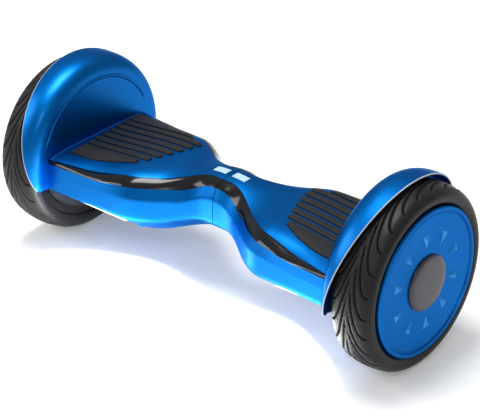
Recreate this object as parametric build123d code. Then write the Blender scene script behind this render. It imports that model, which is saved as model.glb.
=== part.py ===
from build123d import *
import os
from math import atan2, cos, degrees, pi, radians, sin

# A self balancing board: two body halves that pivot about the wheel axis, each on a hub-motor
# wheel. X runs along the wheel axis, -Y is the front, +Z is up, and the origin is on the floor
# midway between the wheels. Sizes are in millimetres. The right half is built at +X, and what
# both halves share is mirrored for the left one.

os.makedirs("parts", exist_ok=True)

# ---- Overall -----------------------------------------------------------------------------
tyre_diameter = 254.0        # a ten inch tyre
tyre_width = 62.0
wheel_track = 586.0          # between the middles of the two tyres
deck_width = 200.0           # front to back, at the wheel end
neck_width = 80.0            # front to back, at the pivot

axle_z = tyre_diameter / 2
tyre_x = wheel_track / 2
tyre_inner_x = tyre_x - tyre_width / 2

# ---- Clearances --------------------------------------------------------------------------
seam_half = 0.5              # half the slit between the body halves
panel_gap = 0.4              # between neighbouring mouldings
running = 0.05               # radial, shaft in bush or bearing
seated = 0.04                # radial, parts pressed together
free = 0.3                   # all round, loose fits

# ---- Body --------------------------------------------------------------------------------
shell_wall = 3.4
fender_tyre_gap = 9.0        # fender face to the tyre's inner side
body_end = tyre_inner_x - fender_tyre_gap - 3.4
flare_start = 15.0
flare_end = 125.0
side_growth = 7.0            # the deck widens this much from the flare to the wheel
deck_above_axle = 25.5
pad_rise = 11.0              # deck crown at the inner end of the pad, above the wheel end
neck_top = 46.0              # above the axle
neck_bottom = 38.0           # below the axle
belly_drop = 64.5            # below the axle
chamfer_angle = radians(35)
strip_wall = 2.4

# ---- Fender ------------------------------------------------------------------------------
fender_wall = 2.6
fender_clearance = 7.5       # inside of the arch above the tread
fender_top_x = tyre_x + 5
fender_lean = 0.29           # the lip moves in by this much for each unit down
fender_drop = 23.0           # how far the fender reaches below the axle
trim_wide = 2.0
trim_bead = 0.6              # the trim stands this far off the fender, inside and out
fender_bolt_y = 50.0
fender_bolt_z = 9.0          # above and below the axle

# ---- Foot pad ----------------------------------------------------------------------------
rib_wide = 10.4
rib_gap = 5.2                # the shell's bars between the ribs
rib_proud = 2.5
half_moon_depth = 31.5
half_moon_gap = 4.2          # half moon to the first rib
half_moon_margin = 31.1      # half moon to the deck's front edge
crescent_gap = 4.6           # last rib to the crescent
crescent_depth = 23.2
crescent_margin = 17.0       # crescent to the deck's rear edge
pad_plate = 2.0
pad_travel = 1.5
slot_gap = 0.5
rubber_wall = 2.6            # the ribs and crescents are hollow from below
pad_inner_x = 98.0
pad_outer_gap = 3.6          # last rib to the fender face
pad_drop = 3.7               # pad plate below the shell's inside, at the wheel end
plunger_radius = 4.0

# ---- Frame and pivot ---------------------------------------------------------------------
plate_wall = 4.0
plate_drop = 13.0            # top of the frame's plate, below the axle
plate_margin = 28.0          # plate's edge to the deck's edge
rail_margin = 41.5           # side rail to the deck's edge
rail_wall = 5.0
rail_depth = 30.0            # the frame's side rails, below the plate's top
rail_start = 126.0
tube_radius = 17.0
tube_wall = 4.0
bush_wall = 3.0
bush_length = 22.0
sleeve_wall = 4.0
sleeve_length = 78.0
saddle_half = 32.0
clamp_wall = 5.0

# ---- Wheel -------------------------------------------------------------------------------
axle_radius = 9.0
carrier_radius = 14.0
bearing_radius = 17.5
stator_radius = 64.5
stator_half = 12.0
magnet_gap = 1.0
magnet_wall = 4.5
bead_radius = 86.0
bead_half = 22.0
flange_height = 5.0
flange_wall = 3.2
cover_radius = 102.5
hub_cap_radius = 38.5
tooth_count = 18
tooth_half = 2.6
coil_half = 6.2
shoe_half = 7.6
yoke_depth = 18.5            # stator's outside to the root of its teeth
motor_bolt_count = 8

# ---- Electrics ---------------------------------------------------------------------------
battery_length = 120.0
battery_height = 38.0
strap_wall = 1.5
battery_side_room = 16.5     # battery to the frame's rails, for the straps' feet
board_length = 104.0
board_wall = 1.6
board_side_room = 18.5       # board to the frame's rails
board_drop = 24.0            # board below the frame plate, on its standoffs
fin_count = 7                # on the board's heat sink
fin_wall = 3.0
board_y = -7.0               # both heavy boxes sit forward, against the rear-heavy foot pad
battery_y = -1.5
gyro_size = (72.0, 40.0, 1.6)
lamp_length = 100.0
lamp_wide = 9.0
window_size = (22.0, 13.0)
socket_radius = 8.0
button_radius = 7.0
button_travel = 0.8
socket_button_gap = 34.0     # charging socket to power button
screw_radius = 2.0
screw_head = 3.6
screw_hole = screw_radius + 0.1
bolt_radius = 3.0
bolt_hole = bolt_radius + 0.1

plate_top = axle_z - plate_drop
plate_low = plate_top - plate_wall
sleeve_radius = tube_radius + bush_wall + sleeve_wall


def ease(x, start, end):
    """Smooth step from 0 at start to 1 at end."""
    t = min(max((x - start) / (end - start), 0.0), 1.0)
    return t * t * (3 - 2 * t)


def ramp(x, start, end):
    """Straight step from 0 at start to 1 at end."""
    return min(max((x - start) / (end - start), 0.0), 1.0)


# ---- The body's outline, x millimetres from the pivot plane ------------------------------
def half_width(x):
    flare = (deck_width - neck_width) / 2 - side_growth
    growth = side_growth * ramp(x, flare_end, body_end)
    return neck_width / 2 + flare * ease(x, flare_start, flare_end) + growth


def strip_top(x):
    """Upper edge of the accent strip, as distance from the middle and height."""
    height = 44 - 13 * ease(x, 10, 85) - 9 * ease(x, 110, 190) - ramp(x, 200, body_end)
    return half_width(x) - 22 + 19 * ramp(x, 95, body_end), axle_z + height


def strip_low(x):
    """Lower edge of the accent strip."""
    height = 37 - 16 * ease(x, 5, 55) - 4 * ease(x, 110, 190) - 2 * ramp(x, 200, body_end)
    return half_width(x) - 7 + 7 * ramp(x, 95, 155), axle_z + height


def crown_z(x):
    """Height of the deck along its middle."""
    neck_fall = neck_top - deck_above_axle - pad_rise
    return axle_z + neck_top - neck_fall * ease(x, 10, 85) - pad_rise * ease(x, 110, body_end)


def side_low_z(x):
    """Where the side wall turns in to the chamfer."""
    return axle_z - 17 - 10 * ease(x, 20, 80) + 2 * ease(x, 110, 200)


def belly_z(x):
    return axle_z - neck_bottom - (belly_drop - neck_bottom) * ease(x, flare_start, 140)


def chamfer_point(x, share):
    """A point on the chamfer: share 0 is its upper edge and 1 its lower edge."""
    corners = lower_corners(x, 0)
    (y0, z0), (y1, z1) = corners[2], corners[3]
    return y0 + (y1 - y0) * share, z0 + (z1 - z0) * share


def lower_corners(x, inset):
    """Corners of the lower shell's section from the strip to the belly, moved in by inset."""
    wide = half_width(x) - inset
    top_y, top_z = strip_low(x)
    lean = half_width(x) * sin(chamfer_angle) - side_low_z(x) * cos(chamfer_angle) - inset
    turn_z = (wide * sin(chamfer_angle) - lean) / cos(chamfer_angle)
    low_z = belly_z(x) + inset
    low_y = (lean + low_z * cos(chamfer_angle)) / sin(chamfer_angle)
    return [(top_y - 1.2 - inset, top_z - panel_gap), (wide, top_z - 16), (wide, turn_z), (low_y, low_z)]


waist_stations = [seam_half, 15, 30, 45, 60, 75, 90, 110, 130, 155]
deck_shares = (0.37, 0.69, 1.0)
deck_run = body_end - waist_stations[-1]
stations = waist_stations + [waist_stations[-1] + deck_run * share for share in deck_shares]
corner_radii = [0, 14, 12, 14]


def solid_through(section):
    """A solid lofted through the section's wires at every station."""
    return Solid.make_loft([section(x) for x in stations], False)


def rounded_wire(x, points, radii):
    """A closed wire in the plane at x."""
    path = FilletPolyline(*[(x, y, z) for y, z in points], radius=radii, close=True)
    return Wire(path.edges())


def wire_of(*curves):
    return Wire([edge for curve in curves for edge in curve.edges()])


def both_sides(points):
    return points + [(-y, z) for y, z in reversed(points)]


def lower_shell_wire(x):
    outer = both_sides(lower_corners(x, 0))
    inner = both_sides(lower_corners(x, shell_wall))
    radii = corner_radii + corner_radii[::-1]
    return rounded_wire(x, outer + inner[::-1], radii + radii)


def lower_body_wire(x):
    """The lower shell's outline closed straight across at the strips."""
    radii = corner_radii + corner_radii[::-1]
    return rounded_wire(x, both_sides(lower_corners(x, 0)), radii)


def crown_curve(x, inset, rise):
    """The deck's curve across the body, lowered by inset and raised by rise."""
    edge_y, edge_z = strip_top(x)
    edge_y -= 0.3 + inset / 2
    power = 2 + 5 * ramp(x, 60, 140)
    points = []
    for step in range(-6, 7):
        share = sin(step * pi / 12)
        height = edge_z + (crown_z(x) - edge_z) * (1 - abs(share) ** power)
        points.append((x, edge_y * share, height - inset + rise))
    return Spline(*points)


def upper_shell_wire(x):
    outer = crown_curve(x, 0, 0)
    inner = crown_curve(x, shell_wall, 0)
    return wire_of(outer, Line(outer @ 1, inner @ 1), inner, Line(inner @ 0, outer @ 0))


def pad_limit_wire(x):
    """The room for the pad's ribs: the deck raised by their height, down to the axle."""
    top = crown_curve(x, 0, rib_proud)
    left = Vector((top @ 0).X, (top @ 0).Y, axle_z)
    right = Vector((top @ 1).X, (top @ 1).Y, axle_z)
    return wire_of(top, Line(top @ 1, right), Line(right, left), Line(left, top @ 0))


def strip_wire(side, grow):
    """Section of the accent strip on one side (-1 front, 1 rear), made larger by grow."""
    def section(x):
        start = Vector(*strip_top(x))
        end = Vector(*strip_low(x))
        along = (end - start).normalized()
        out = Vector(-along.Y, along.X)
        start += along * (panel_gap - grow)
        end -= along * (panel_gap / 2 - grow)
        middle = (start + end) * 0.5 + out * 0.8
        under = out * (strip_wall + grow)
        over = out * grow

        def place(point):
            return x, side * point.X, point.Y
        top = ThreePointArc(place(start + over), place(middle + over), place(end + over))
        low = ThreePointArc(place(start - under), place(middle - under), place(end - under))
        return wire_of(top, Line(top @ 1, low @ 1), low, Line(low @ 0, top @ 0))
    return section


# ---- Small builders ----------------------------------------------------------------------
def rod(axis, radius, start, end, centre, bore=0.0):
    """A round bar or tube along X, Y or Z from start to end, through centre."""
    turns = {"X": (0, 90, 0), "Y": (-90, 0, 0), "Z": (0, 0, 0)}
    places = {
        "X": (start, centre[0], centre[1]),
        "Y": (centre[0], start, centre[1]),
        "Z": (centre[0], centre[1], start),
    }
    bar = Cylinder(radius, end - start, align=(Align.CENTER, Align.CENTER, Align.MIN))
    if bore:
        bar -= Cylinder(bore, end - start, align=(Align.CENTER, Align.CENTER, Align.MIN))
    return Pos(*places[axis]) * Rot(*turns[axis]) * bar


def block(x, y, z):
    """A box from its three (low, high) spans."""
    size = [high - low for low, high in (x, y, z)]
    middle = [(high + low) / 2 for low, high in (x, y, z)]
    return Pos(*middle) * Box(*size)


def turned(points):
    """A ring turned about the wheel axis from (x, radius) corners."""
    outline = Polyline(*[(x, 0, axle_z + radius) for x, radius in points], close=True)
    return revolve(make_face(outline.edges()), Axis((0, 0, axle_z), (1, 0, 0)))


def prism(outline, low, high):
    """A closed plan outline (an edge list at z = 0) raised from low to high."""
    return Pos(0, 0, low) * extrude(make_face(outline), high - low, dir=(0, 0, 1))


def group(solids):
    return Compound(children=[one for part in solids for one in part.solids()])


def mirrored(part):
    return mirror(part, Plane.YZ)


# ---- Body mouldings ----------------------------------------------------------------------
front_strip = solid_through(strip_wire(-1, 0))
rear_strip = solid_through(strip_wire(1, 0))
strip_room = [solid_through(strip_wire(side, panel_gap)) for side in (-1, 1)]
deck_skin = solid_through(upper_shell_wire)
lower_body = solid_through(lower_body_wire)

pad_outer_x = body_end - pad_outer_gap
rib_field = deck_width - half_moon_margin - half_moon_depth - half_moon_gap
rib_field -= crescent_gap + crescent_depth + crescent_margin
rib_count = round((rib_field + rib_gap) / (rib_wide + rib_gap))
rib_pitch = (rib_field - rib_wide) / (rib_count - 1)
half_moon_front = half_moon_margin - deck_width / 2
half_moon_back = half_moon_front + half_moon_depth
rib_first_y = half_moon_back + half_moon_gap + rib_wide / 2
rib_rows = [rib_first_y + rib_pitch * row for row in range(rib_count)]
crescent_front = rib_rows[-1] + rib_wide / 2 + crescent_gap
crescent_rear = deck_width / 2 - crescent_margin


def rib_span(row):
    """Inner and outer end of a rib: the inner ends run back towards the neck."""
    share = row / (rib_count - 1)
    inner = pad_inner_x + 24 * (1 - share) ** 1.4
    return inner, pad_outer_x - 7 * (1 - share)


def rib_outline(row, grow):
    inner, outer = rib_span(row)
    long = outer - inner + 2 * grow
    wide = rib_wide + 2 * grow
    bar = Pos((inner + outer) / 2, rib_rows[row]) * SlotOverall(long, wide)
    return bar.edges()



def half_moon_outline(grow):
    inner = pad_inner_x + 35 - grow
    outer = pad_outer_x - 9 + grow
    back = half_moon_back + grow
    front = half_moon_front - grow
    shoulder = Vector(inner, back - 9 - grow)
    corner = ThreePointArc((inner + 4, back), (inner + 1, back - 1.5), (inner, back - 5))
    side = Line(corner @ 1, shoulder)
    sweep = ThreePointArc(shoulder, (inner + 30, front + 9), (outer - 30, front))
    nose = Line(sweep @ 1, (outer, front))
    end = Line(nose @ 1, (outer, back))
    rear = Line(end @ 1, corner @ 0)
    return [edge for curve in (corner, side, sweep, nose, end, rear) for edge in curve.edges()]


def crescent_outline(grow):
    inner = pad_inner_x + 24 - grow
    outer = pad_outer_x + grow
    front = crescent_front - grow
    rear = crescent_rear + grow
    base = Line((inner, front), (outer, front))
    end = Line(base @ 1, (outer, rear))
    sweep = ThreePointArc(end @ 1, (inner + 62, rear - 4), (inner + 5, front + 7 + grow))
    tip = Line(sweep @ 1, base @ 0)
    return [edge for curve in (base, end, sweep, tip) for edge in curve.edges()]


def pad_outlines(grow):
    ribs = [rib_outline(row, grow) for row in range(rib_count)]
    return ribs + [half_moon_outline(grow), crescent_outline(grow)]


window_x = (seam_half + 5, seam_half + 5 + window_size[0])
window_room = block(window_x, (-window_size[1] / 2, window_size[1] / 2), (axle_z, axle_z + 90))
window_cut = block(
    (window_x[0] - free, window_x[1] + free),
    (-window_size[1] / 2 - free, window_size[1] / 2 + free),
    (axle_z, axle_z + 90),
)
indicator_window = deck_skin & window_room

upper_screw_spots = [(70.0, side * (sleeve_radius + 8)) for side in (-1, 1)]
upper_shell = deck_skin - strip_room[0] - strip_room[1] - window_cut
for outline in pad_outlines(slot_gap):
    upper_shell -= prism(outline, axle_z, axle_z + 90)
pad_limit = solid_through(pad_limit_wire)
for spot in upper_screw_spots:
    boss = rod("Z", 5.0, plate_top, crown_z(spot[0]) - shell_wall, spot, screw_hole)
    upper_shell += boss & pad_limit

end_wall = extrude(make_face(lower_body_wire(body_end).edges()), shell_wall, dir=(-1, 0, 0))
axle_notch = axle_radius + 15
end_wall -= rod("X", axle_notch, body_end - 10, body_end + 10, (0, axle_z))
end_wall -= block((body_end - 10, body_end + 10), (-axle_notch, axle_notch), (axle_z, axle_z + 50))
lower_shell = Part() + solid_through(lower_shell_wire) + end_wall

rail_outer = deck_width / 2 - rail_margin
rail_inner = rail_outer - rail_wall
screw_y = rail_inner - 1.5
lower_screw_spots = [(x, y) for x in (rail_start - 8, body_end - 21) for y in (-screw_y, screw_y)]
screw_ledge = axle_z - 50
boss_limit = lower_body + block((100, body_end), (-rail_outer, rail_outer), (plate_top - 30, plate_low))
for spot in lower_screw_spots:
    lower_shell += rod("Z", 6.0, axle_z - 80, plate_low, spot) & boss_limit
    lower_shell -= rod("Z", screw_head + 0.5, axle_z - 90, screw_ledge, spot)
    lower_shell -= rod("Z", screw_hole, axle_z - 90, plate_low + 1, spot)
lower_shell = lower_shell - strip_room[0] - strip_room[1]
belly_cut = axle_z - belly_drop
lower_shell -= block((0, body_end + 5), (-deck_width, deck_width), (0, belly_cut + 0.2))

# ---- Headlight, on the front chamfer -----------------------------------------------------
lamp_x = (body_end - 14.6 - lamp_length, body_end - 14.6)
lamp_ends = []
for x in lamp_x:
    y, z = chamfer_point(x, 0.5)
    lamp_ends.append(Vector(x, -y, z))
lamp_face = Plane(
    origin=(lamp_ends[0] + lamp_ends[1]) * 0.5,
    x_dir=lamp_ends[1] - lamp_ends[0],
    z_dir=(0, -sin(chamfer_angle), -cos(chamfer_angle)),
)


def lamp_bar(length, wide, low, high):
    """A round-ended bar on the chamfer, from low to high along its outward normal."""
    bar = extrude(SlotOverall(length, wide), high - low)
    return lamp_face * Pos(0, 0, low) * bar


lower_shell -= lamp_bar(lamp_length + 2 * free, lamp_wide + 2 * free, -12, 12)
lower_shell -= lamp_bar(lamp_length + 6 + 2 * free, lamp_wide + 6 + 2 * free, -12, -2.6)
headlight_lens = lamp_bar(lamp_length, lamp_wide, -3.2, 0.8)
headlight_lens += lamp_bar(lamp_length + 6, lamp_wide + 6, -5.0, -2.9)
headlight_lens -= lamp_bar(lamp_length - 4, lamp_wide - 4, -6, -1.6)
headlight_board = lamp_bar(lamp_length + 4, lamp_wide + 4, -6.8, -5.2)
for step in range(6):
    led = block((-2.5, 2.5), (-1.8, 1.8), (-5.2, -3.9))
    headlight_board += lamp_face * Pos((step - 2.5) * lamp_length / 7, 0, 0) * led

# ---- Fender ------------------------------------------------------------------------------
fender_x = body_end + panel_gap
arch_inner = axle_z + fender_clearance
arch_outer = arch_inner + fender_wall
crease_radius = deck_width / 2 + 10


def fender_ring(thick_in, thick_out):
    """The fender's turned shape, with its two faces moved in and out."""
    inner_x = fender_x - thick_out
    rise = arch_outer - crease_radius
    curve = [(0, 0.0), (3, 0.54), (10, 0.77), (20, 0.94), (35, 1.0)]
    curve.append((fender_top_x + 12 - fender_x, 1.0))
    outer = [(inner_x + dx, crease_radius + rise * share + thick_out) for dx, share in curve]
    inner = [(x + fender_wall * (1 - share), radius - fender_wall * (0.35 + 0.65 * share))
             for (x, radius), (_, share) in zip(outer, curve)]
    if thick_in:
        inner = [(x, radius - thick_in) for x, radius in inner]
    outline = wire_of(
        Line((inner_x, 0, axle_z + axle_radius + 8), (inner_x, 0, axle_z + outer[0][1])),
        Spline(*[(x, 0, axle_z + radius) for x, radius in outer]),
        Line((outer[-1][0], 0, axle_z + outer[-1][1]), (inner[-1][0], 0, axle_z + inner[-1][1])),
        Spline(*[(x, 0, axle_z + radius) for x, radius in reversed(inner)]),
        Line((inner[0][0], 0, axle_z + inner[0][1]), (inner[0][0], 0, axle_z + axle_radius + 8)),
        Line((inner[0][0], 0, axle_z + axle_radius + 8), (inner_x, 0, axle_z + axle_radius + 8)),
    )
    return revolve(Face(outline), Axis((0, 0, axle_z), (1, 0, 0)))


def lip_slab(start, end):
    """The leaning slab between two distances past the lip plane, inwards positive."""
    lean = atan2(fender_lean, 1.0)
    slab = block((-end, -start), (-200, 200), (-400, 400))
    return Pos(fender_top_x, 0, axle_z + arch_outer) * Rot(0, degrees(lean), 0) * slab


above_low = block((0, 400), (-200, 200), (axle_z - fender_drop, 400))
fender = fender_ring(0, 0) & lip_slab(trim_wide, 300)
fender = fender & above_low
fender_trim = (fender_ring(trim_bead, trim_bead) & lip_slab(0, trim_wide)) & above_low
fender_trim -= rod("X", arch_inner - 2.0, 0, 400, (0, axle_z))

fender_screw_spots = [
    (y, axle_z + dz) for y in (-fender_bolt_y, fender_bolt_y) for dz in (-fender_bolt_z, fender_bolt_z)
]
end_plate_x = (body_end - shell_wall - free - 4, body_end - shell_wall - free)
for spot in fender_screw_spots:
    hole = rod("X", screw_hole, body_end - 20, body_end + 20, spot)
    fender -= hole
    lower_shell -= hole

# ---- Foot pad ----------------------------------------------------------------------------
pad_top = axle_z + deck_above_axle - shell_wall - free - pad_drop
pad_base = pad_top - pad_plate
plate_outline = Polyline(
    (pad_inner_x + 28, half_moon_front + 2),
    (pad_outer_x - 1, half_moon_front + 2),
    (pad_outer_x + 1, crescent_rear - 2),
    (pad_inner_x + 36, crescent_front + 10),
    (pad_inner_x, rib_rows[-1] + 2),
    (pad_inner_x + 8, rib_first_y - 6),
    close=True,
)
footpad = prism(plate_outline.edges(), pad_base, pad_top)
for outline in pad_outlines(0):
    footpad += prism(outline, pad_top, axle_z + 90) & pad_limit
pad_hollow_limit = Pos(0, 0, -rib_proud - rubber_wall) * pad_limit
for outline in pad_outlines(-rubber_wall):
    footpad -= prism(outline, pad_base - 1, axle_z + 90) & pad_hollow_limit
gyro_x = (body_end - 50 - gyro_size[0], body_end - 50)
gyro_z = plate_top + 10
sensor_top = gyro_z + gyro_size[2] + 4
plunger_spots = [(gyro_x[0] + 18, 0.0), (gyro_x[1] - 14, 0.0)]
for spot in plunger_spots:
    footpad += rod("Z", plunger_radius, sensor_top + pad_travel + free, pad_base, spot)

# ---- Frame -------------------------------------------------------------------------------
saddle_x = (body_end - 44, end_plate_x[0])
clamp_bolts_at = [(saddle_x[0] + dx, y) for dx in (10, 28) for y in (-21.0, 21.0)]
plate_start = neck_width / 2 - 6
plate_edge_y = deck_width / 2 - plate_margin
plate_edge = Polyline(
    (sleeve_length - 20, -plate_start),
    (sleeve_length + 26, 6 - plate_edge_y),
    (end_plate_x[0], -plate_edge_y),
    (end_plate_x[0], plate_edge_y),
    (sleeve_length + 26, plate_edge_y - 6),
    (sleeve_length - 20, plate_start),
    close=True,
)
frame_blank = prism(plate_edge.edges(), plate_low, plate_top)
for side in (-1, 1):
    rail_y = sorted((side * rail_inner, side * rail_outer))
    frame_blank += block((rail_start, body_end - 30), rail_y, (plate_top - rail_depth, plate_low))
    bead_y = sorted((side * (sleeve_radius + 2), side * (sleeve_radius + 6)))
    frame_blank += block((sleeve_length + 12, saddle_x[0] + 6), bead_y, (plate_top, plate_top + 5))
foot_y = (-sleeve_radius, sleeve_radius)
frame_blank += rod("X", sleeve_radius, 2, sleeve_length, (0, axle_z))
frame_blank += block((20, sleeve_length + 10), foot_y, (plate_low, plate_top + 5))
frame_blank += block(saddle_x, (-saddle_half, saddle_half), (plate_top, axle_z))
end_plate_y = fender_bolt_y + 10
frame_blank += block(end_plate_x, (-end_plate_y, end_plate_y), (plate_top - 14, axle_z + fender_bolt_z + 4))
for x in (gyro_x[0] + 5, gyro_x[1] - 5):
    for y in (-gyro_size[1] / 2 + 5, gyro_size[1] / 2 - 5):
        frame_blank += rod("Z", 3.0, plate_top, gyro_z, (x, y))
frame_blank -= rod("X", axle_radius + seated, saddle_x[0] - 1, body_end + 5, (0, axle_z))
for spot in lower_screw_spots + upper_screw_spots:
    frame_blank -= rod("Z", screw_hole, plate_top - 40, plate_top + 8, spot)
for spot in fender_screw_spots:
    frame_blank -= rod("X", screw_hole, body_end - 12, body_end, spot)
for spot in clamp_bolts_at:
    frame_blank -= rod("Z", bolt_hole, plate_low - 1, axle_z + 1, spot)
sleeve_bore = rod("X", tube_radius + seated, 0, sleeve_length + 12, (0, axle_z))
bush_bore = rod("X", tube_radius + bush_wall + seated, 0, sleeve_length + 12, (0, axle_z))
frame_left = frame_blank - sleeve_bore
frame_right = frame_blank - bush_bore

clamp_top = axle_z + axle_radius + clamp_wall
axle_clamp = block(saddle_x, (-saddle_half, saddle_half), (axle_z + 0.6, clamp_top))
axle_clamp -= rod("X", axle_radius + seated, saddle_x[0] - 1, saddle_x[1] + 1, (0, axle_z))
clamp_bolts = []
for spot in clamp_bolts_at:
    axle_clamp -= rod("Z", bolt_hole, axle_z, clamp_top + 1, spot)
    axle_clamp -= rod("Z", 5.2, clamp_top - 6, clamp_top + 1, spot)
    bolt = rod("Z", bolt_radius, plate_top - 2, clamp_top - 6, spot)
    head = rod("Z", 4.9, clamp_top - 6, clamp_top, spot)
    socket = extrude(RegularPolygon(2.5, 6), 3)
    bolt = bolt + head - Pos(spot[0], spot[1], clamp_top - 3) * socket
    clamp_bolts.append(bolt)

shell_screws = []
for spot in lower_screw_spots:
    screw = rod("Z", screw_radius, screw_ledge, plate_top + 3, spot)
    shell_screws.append(screw + rod("Z", screw_head, screw_ledge - 2.6, screw_ledge, spot))
for spot in upper_screw_spots:
    screw = rod("Z", screw_radius, plate_low, plate_low + 22, spot)
    shell_screws.append(screw + rod("Z", screw_head, plate_low - 2.6, plate_low, spot))
for spot in fender_screw_spots:
    face = fender_x + fender_wall
    screw = rod("X", screw_radius, end_plate_x[0] - 2, face, spot)
    shell_screws.append(screw + rod("X", screw_head, face, face + 2.4, spot))

# ---- Pivot -------------------------------------------------------------------------------
tube_span = (-sleeve_length + 2, sleeve_length + 6)
pivot_tube = rod("X", tube_radius, *tube_span, (0, axle_z), tube_radius - tube_wall)
clip_x = sleeve_length + 1.5
pivot_tube -= rod("X", tube_radius + 1, clip_x, clip_x + 1.8, (0, axle_z), tube_radius - 1.2)
pivot_circlip = rod("X", tube_radius + 3, clip_x + 0.1, clip_x + 1.7, (0, axle_z), tube_radius - 1.1)
pivot_circlip -= block((clip_x, clip_x + 2), (-3, 3), (axle_z - 40, axle_z))
pivot_bushes = []
for start in (2.0, sleeve_length - bush_length):
    pivot_bushes.append(
        rod("X", tube_radius + bush_wall, start, start + bush_length, (0, axle_z), tube_radius + running)
    )

# ---- Gyro board --------------------------------------------------------------------------
gyro_board = block(gyro_x, (-gyro_size[1] / 2, gyro_size[1] / 2), (gyro_z, gyro_z + gyro_size[2]))
gyro_top = gyro_z + gyro_size[2]
for spot in plunger_spots:
    gyro_board += block((spot[0] - 6, spot[0] + 6), (-5, 5), (gyro_top, sensor_top))
gyro_board += block((gyro_x[0] + 32, gyro_x[0] + 42), (-14, -6), (gyro_top, gyro_top + 1.6))
gyro_board += block((gyro_x[0] + 30, gyro_x[0] + 44), (9, 16), (gyro_top, gyro_top + 5))

# ---- Main board, under the left frame ----------------------------------------------------
board_x = (rail_start - 12, rail_start - 12 + board_length)
board_z = plate_low - board_drop
board_half = rail_inner - board_side_room
sink_x = (board_x[0] + 14, board_x[0] + 90)
sink_y = (15 - board_half, board_half - 13)
sink_base = plate_low - 8
main_board = block(board_x, (-board_half, board_half), (board_z, board_z + board_wall))
for x in (board_x[0] + 6, board_x[1] - 6):
    for y in (6 - board_half, board_half - 6):
        main_board += rod("Z", 3.0, board_z, plate_low, (x, y))
main_board += block(sink_x, sink_y, (sink_base, plate_low))
for step in range(fin_count):
    fin_y = sink_y[0] + (sink_y[1] - sink_y[0] - fin_wall) / (fin_count - 1) * step
    main_board += block(sink_x, (fin_y, fin_y + fin_wall), (board_z, sink_base))
for step in range(3):
    can = (board_x[0] + 24 + 24 * step, board_half - 19)
    main_board += rod("Z", 8.0, board_z - 15, board_z, can)
for step in range(4):
    plug_x = board_x[0] + 14 + 22 * step
    main_board += block((plug_x, plug_x + 12), (5 - board_half, 13 - board_half), (board_z - 8, board_z))
main_board = Pos(0, board_y, 0) * main_board

# ---- Battery, under the right frame ------------------------------------------------------
battery_x = (body_end - 16 - battery_length, body_end - 16)
battery_half = rail_inner - battery_side_room
battery_top = plate_low - 2
battery_low = battery_top - battery_height
battery = block(battery_x, (-battery_half, battery_half), (battery_low, battery_top))
battery_pack = Pos(0, battery_y, 0) * fillet(battery.edges().filter_by(Axis.X), 6)
battery_straps = []
strap_y = battery_half + free
strap_low = battery_low - free
for start in (battery_x[0] + 16, battery_x[0] + 92):
    span = (start, start + 12)
    outer_y = (-strap_y - strap_wall, strap_y + strap_wall)
    outer = block(span, outer_y, (strap_low - strap_wall, plate_low))
    strap = outer - block(span, (-strap_y, strap_y), (strap_low, plate_top))
    for side in (-1, 1):
        foot = sorted((side * (strap_y + strap_wall), side * (strap_y + 13)))
        strap += block(span, foot, (plate_low - strap_wall, plate_low))
    battery_straps.append(Pos(0, battery_y, 0) * strap)

# ---- Charging socket, its cap and the power button, on the left half's rear wall ---------
socket_x = body_end - 70
button_x = socket_x - socket_button_gap
rear_z = axle_z - 5
socket_y = half_width(socket_x) + 1.0
socket_at = (socket_x, rear_z)
socket_cut = rod("Y", socket_radius + free, socket_y - 20, socket_y + 10, socket_at)
charging_socket = rod("Y", socket_radius, socket_y - 16, socket_y, socket_at)
charging_socket += rod("Y", socket_radius + 4, socket_y - 8.5, socket_y - 5.4, socket_at)
charging_socket -= rod("Y", socket_radius - 2, socket_y - 10, socket_y + 1, socket_at)
for turn in range(3):
    angle = radians(120 * turn + 90)
    pin = (socket_x + 3.2 * cos(angle), rear_z + 3.2 * sin(angle))
    charging_socket += rod("Y", 0.8, socket_y - 11, socket_y - 6.5, pin)

cap_y = socket_y + 0.1
cap_low = rear_z - socket_radius - 4
charge_cap = rod("Y", socket_radius + 2.5, cap_y, cap_y + 2, socket_at)
charge_cap += block((socket_x - 4, socket_x + 4), (cap_y, cap_y + 2), (cap_low, rear_z))
charge_cap += rod("X", 1.4, socket_x - 4, socket_x + 4, (cap_y + 1.0, cap_low))

button_y = half_width(button_x) + 0.5
button_at = (button_x, rear_z)
button_cut = rod("Y", button_radius + free, button_y - 20, button_y + 10, button_at)
button_back = button_y - 6.2
power_button = rod("Y", button_radius, button_back, button_y + 1.2, button_at)
power_button += rod("Y", button_radius + 1.5, button_back, button_back + 1.2, button_at)
pressed_y = button_back - button_travel
button_switch = rod("Y", button_radius + 3, button_y - 14, pressed_y - 0.3, button_at)
button_switch += rod("Y", 2.0, pressed_y - 0.7, pressed_y - 0.1, button_at)

# ---- Wheel -------------------------------------------------------------------------------
bead_in = tyre_x - bead_half
bead_out = tyre_x + bead_half
rotor_radius = stator_radius + magnet_gap
drum_radius = rotor_radius + magnet_wall
motor_in = tyre_x - 20.7
web_x = bead_out - 4
centre = (0, axle_z)

rim = turned([
    (web_x - 4, bearing_radius + seated),
    (web_x - 4, bearing_radius + 6),
    (web_x, bearing_radius + 6),
    (web_x, drum_radius),
    (motor_in, drum_radius),
    (motor_in, bead_radius - 4.6),
    (bead_in - flange_wall, bead_radius - 4.6),
    (bead_in - flange_wall, bead_radius + flange_height),
    (bead_in, bead_radius + flange_height),
    (bead_in, bead_radius),
    (bead_in + 8, bead_radius),
    (bead_in + 13, bead_radius - 9),
    (bead_out - 13, bead_radius - 9),
    (bead_out - 8, bead_radius),
    (bead_out, bead_radius),
    (bead_out, bead_radius + flange_height),
    (bead_out + flange_wall, bead_radius + flange_height),
    (bead_out + flange_wall, bead_radius - 6),
    (web_x + 4, drum_radius),
    (web_x + 4, bearing_radius - 4),
    (web_x + 2, bearing_radius - 4),
    (web_x + 2, bearing_radius + seated),
])
magnet_ring = rod("X", drum_radius - seated, tyre_x - 15, tyre_x + 15, centre, rotor_radius)
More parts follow.
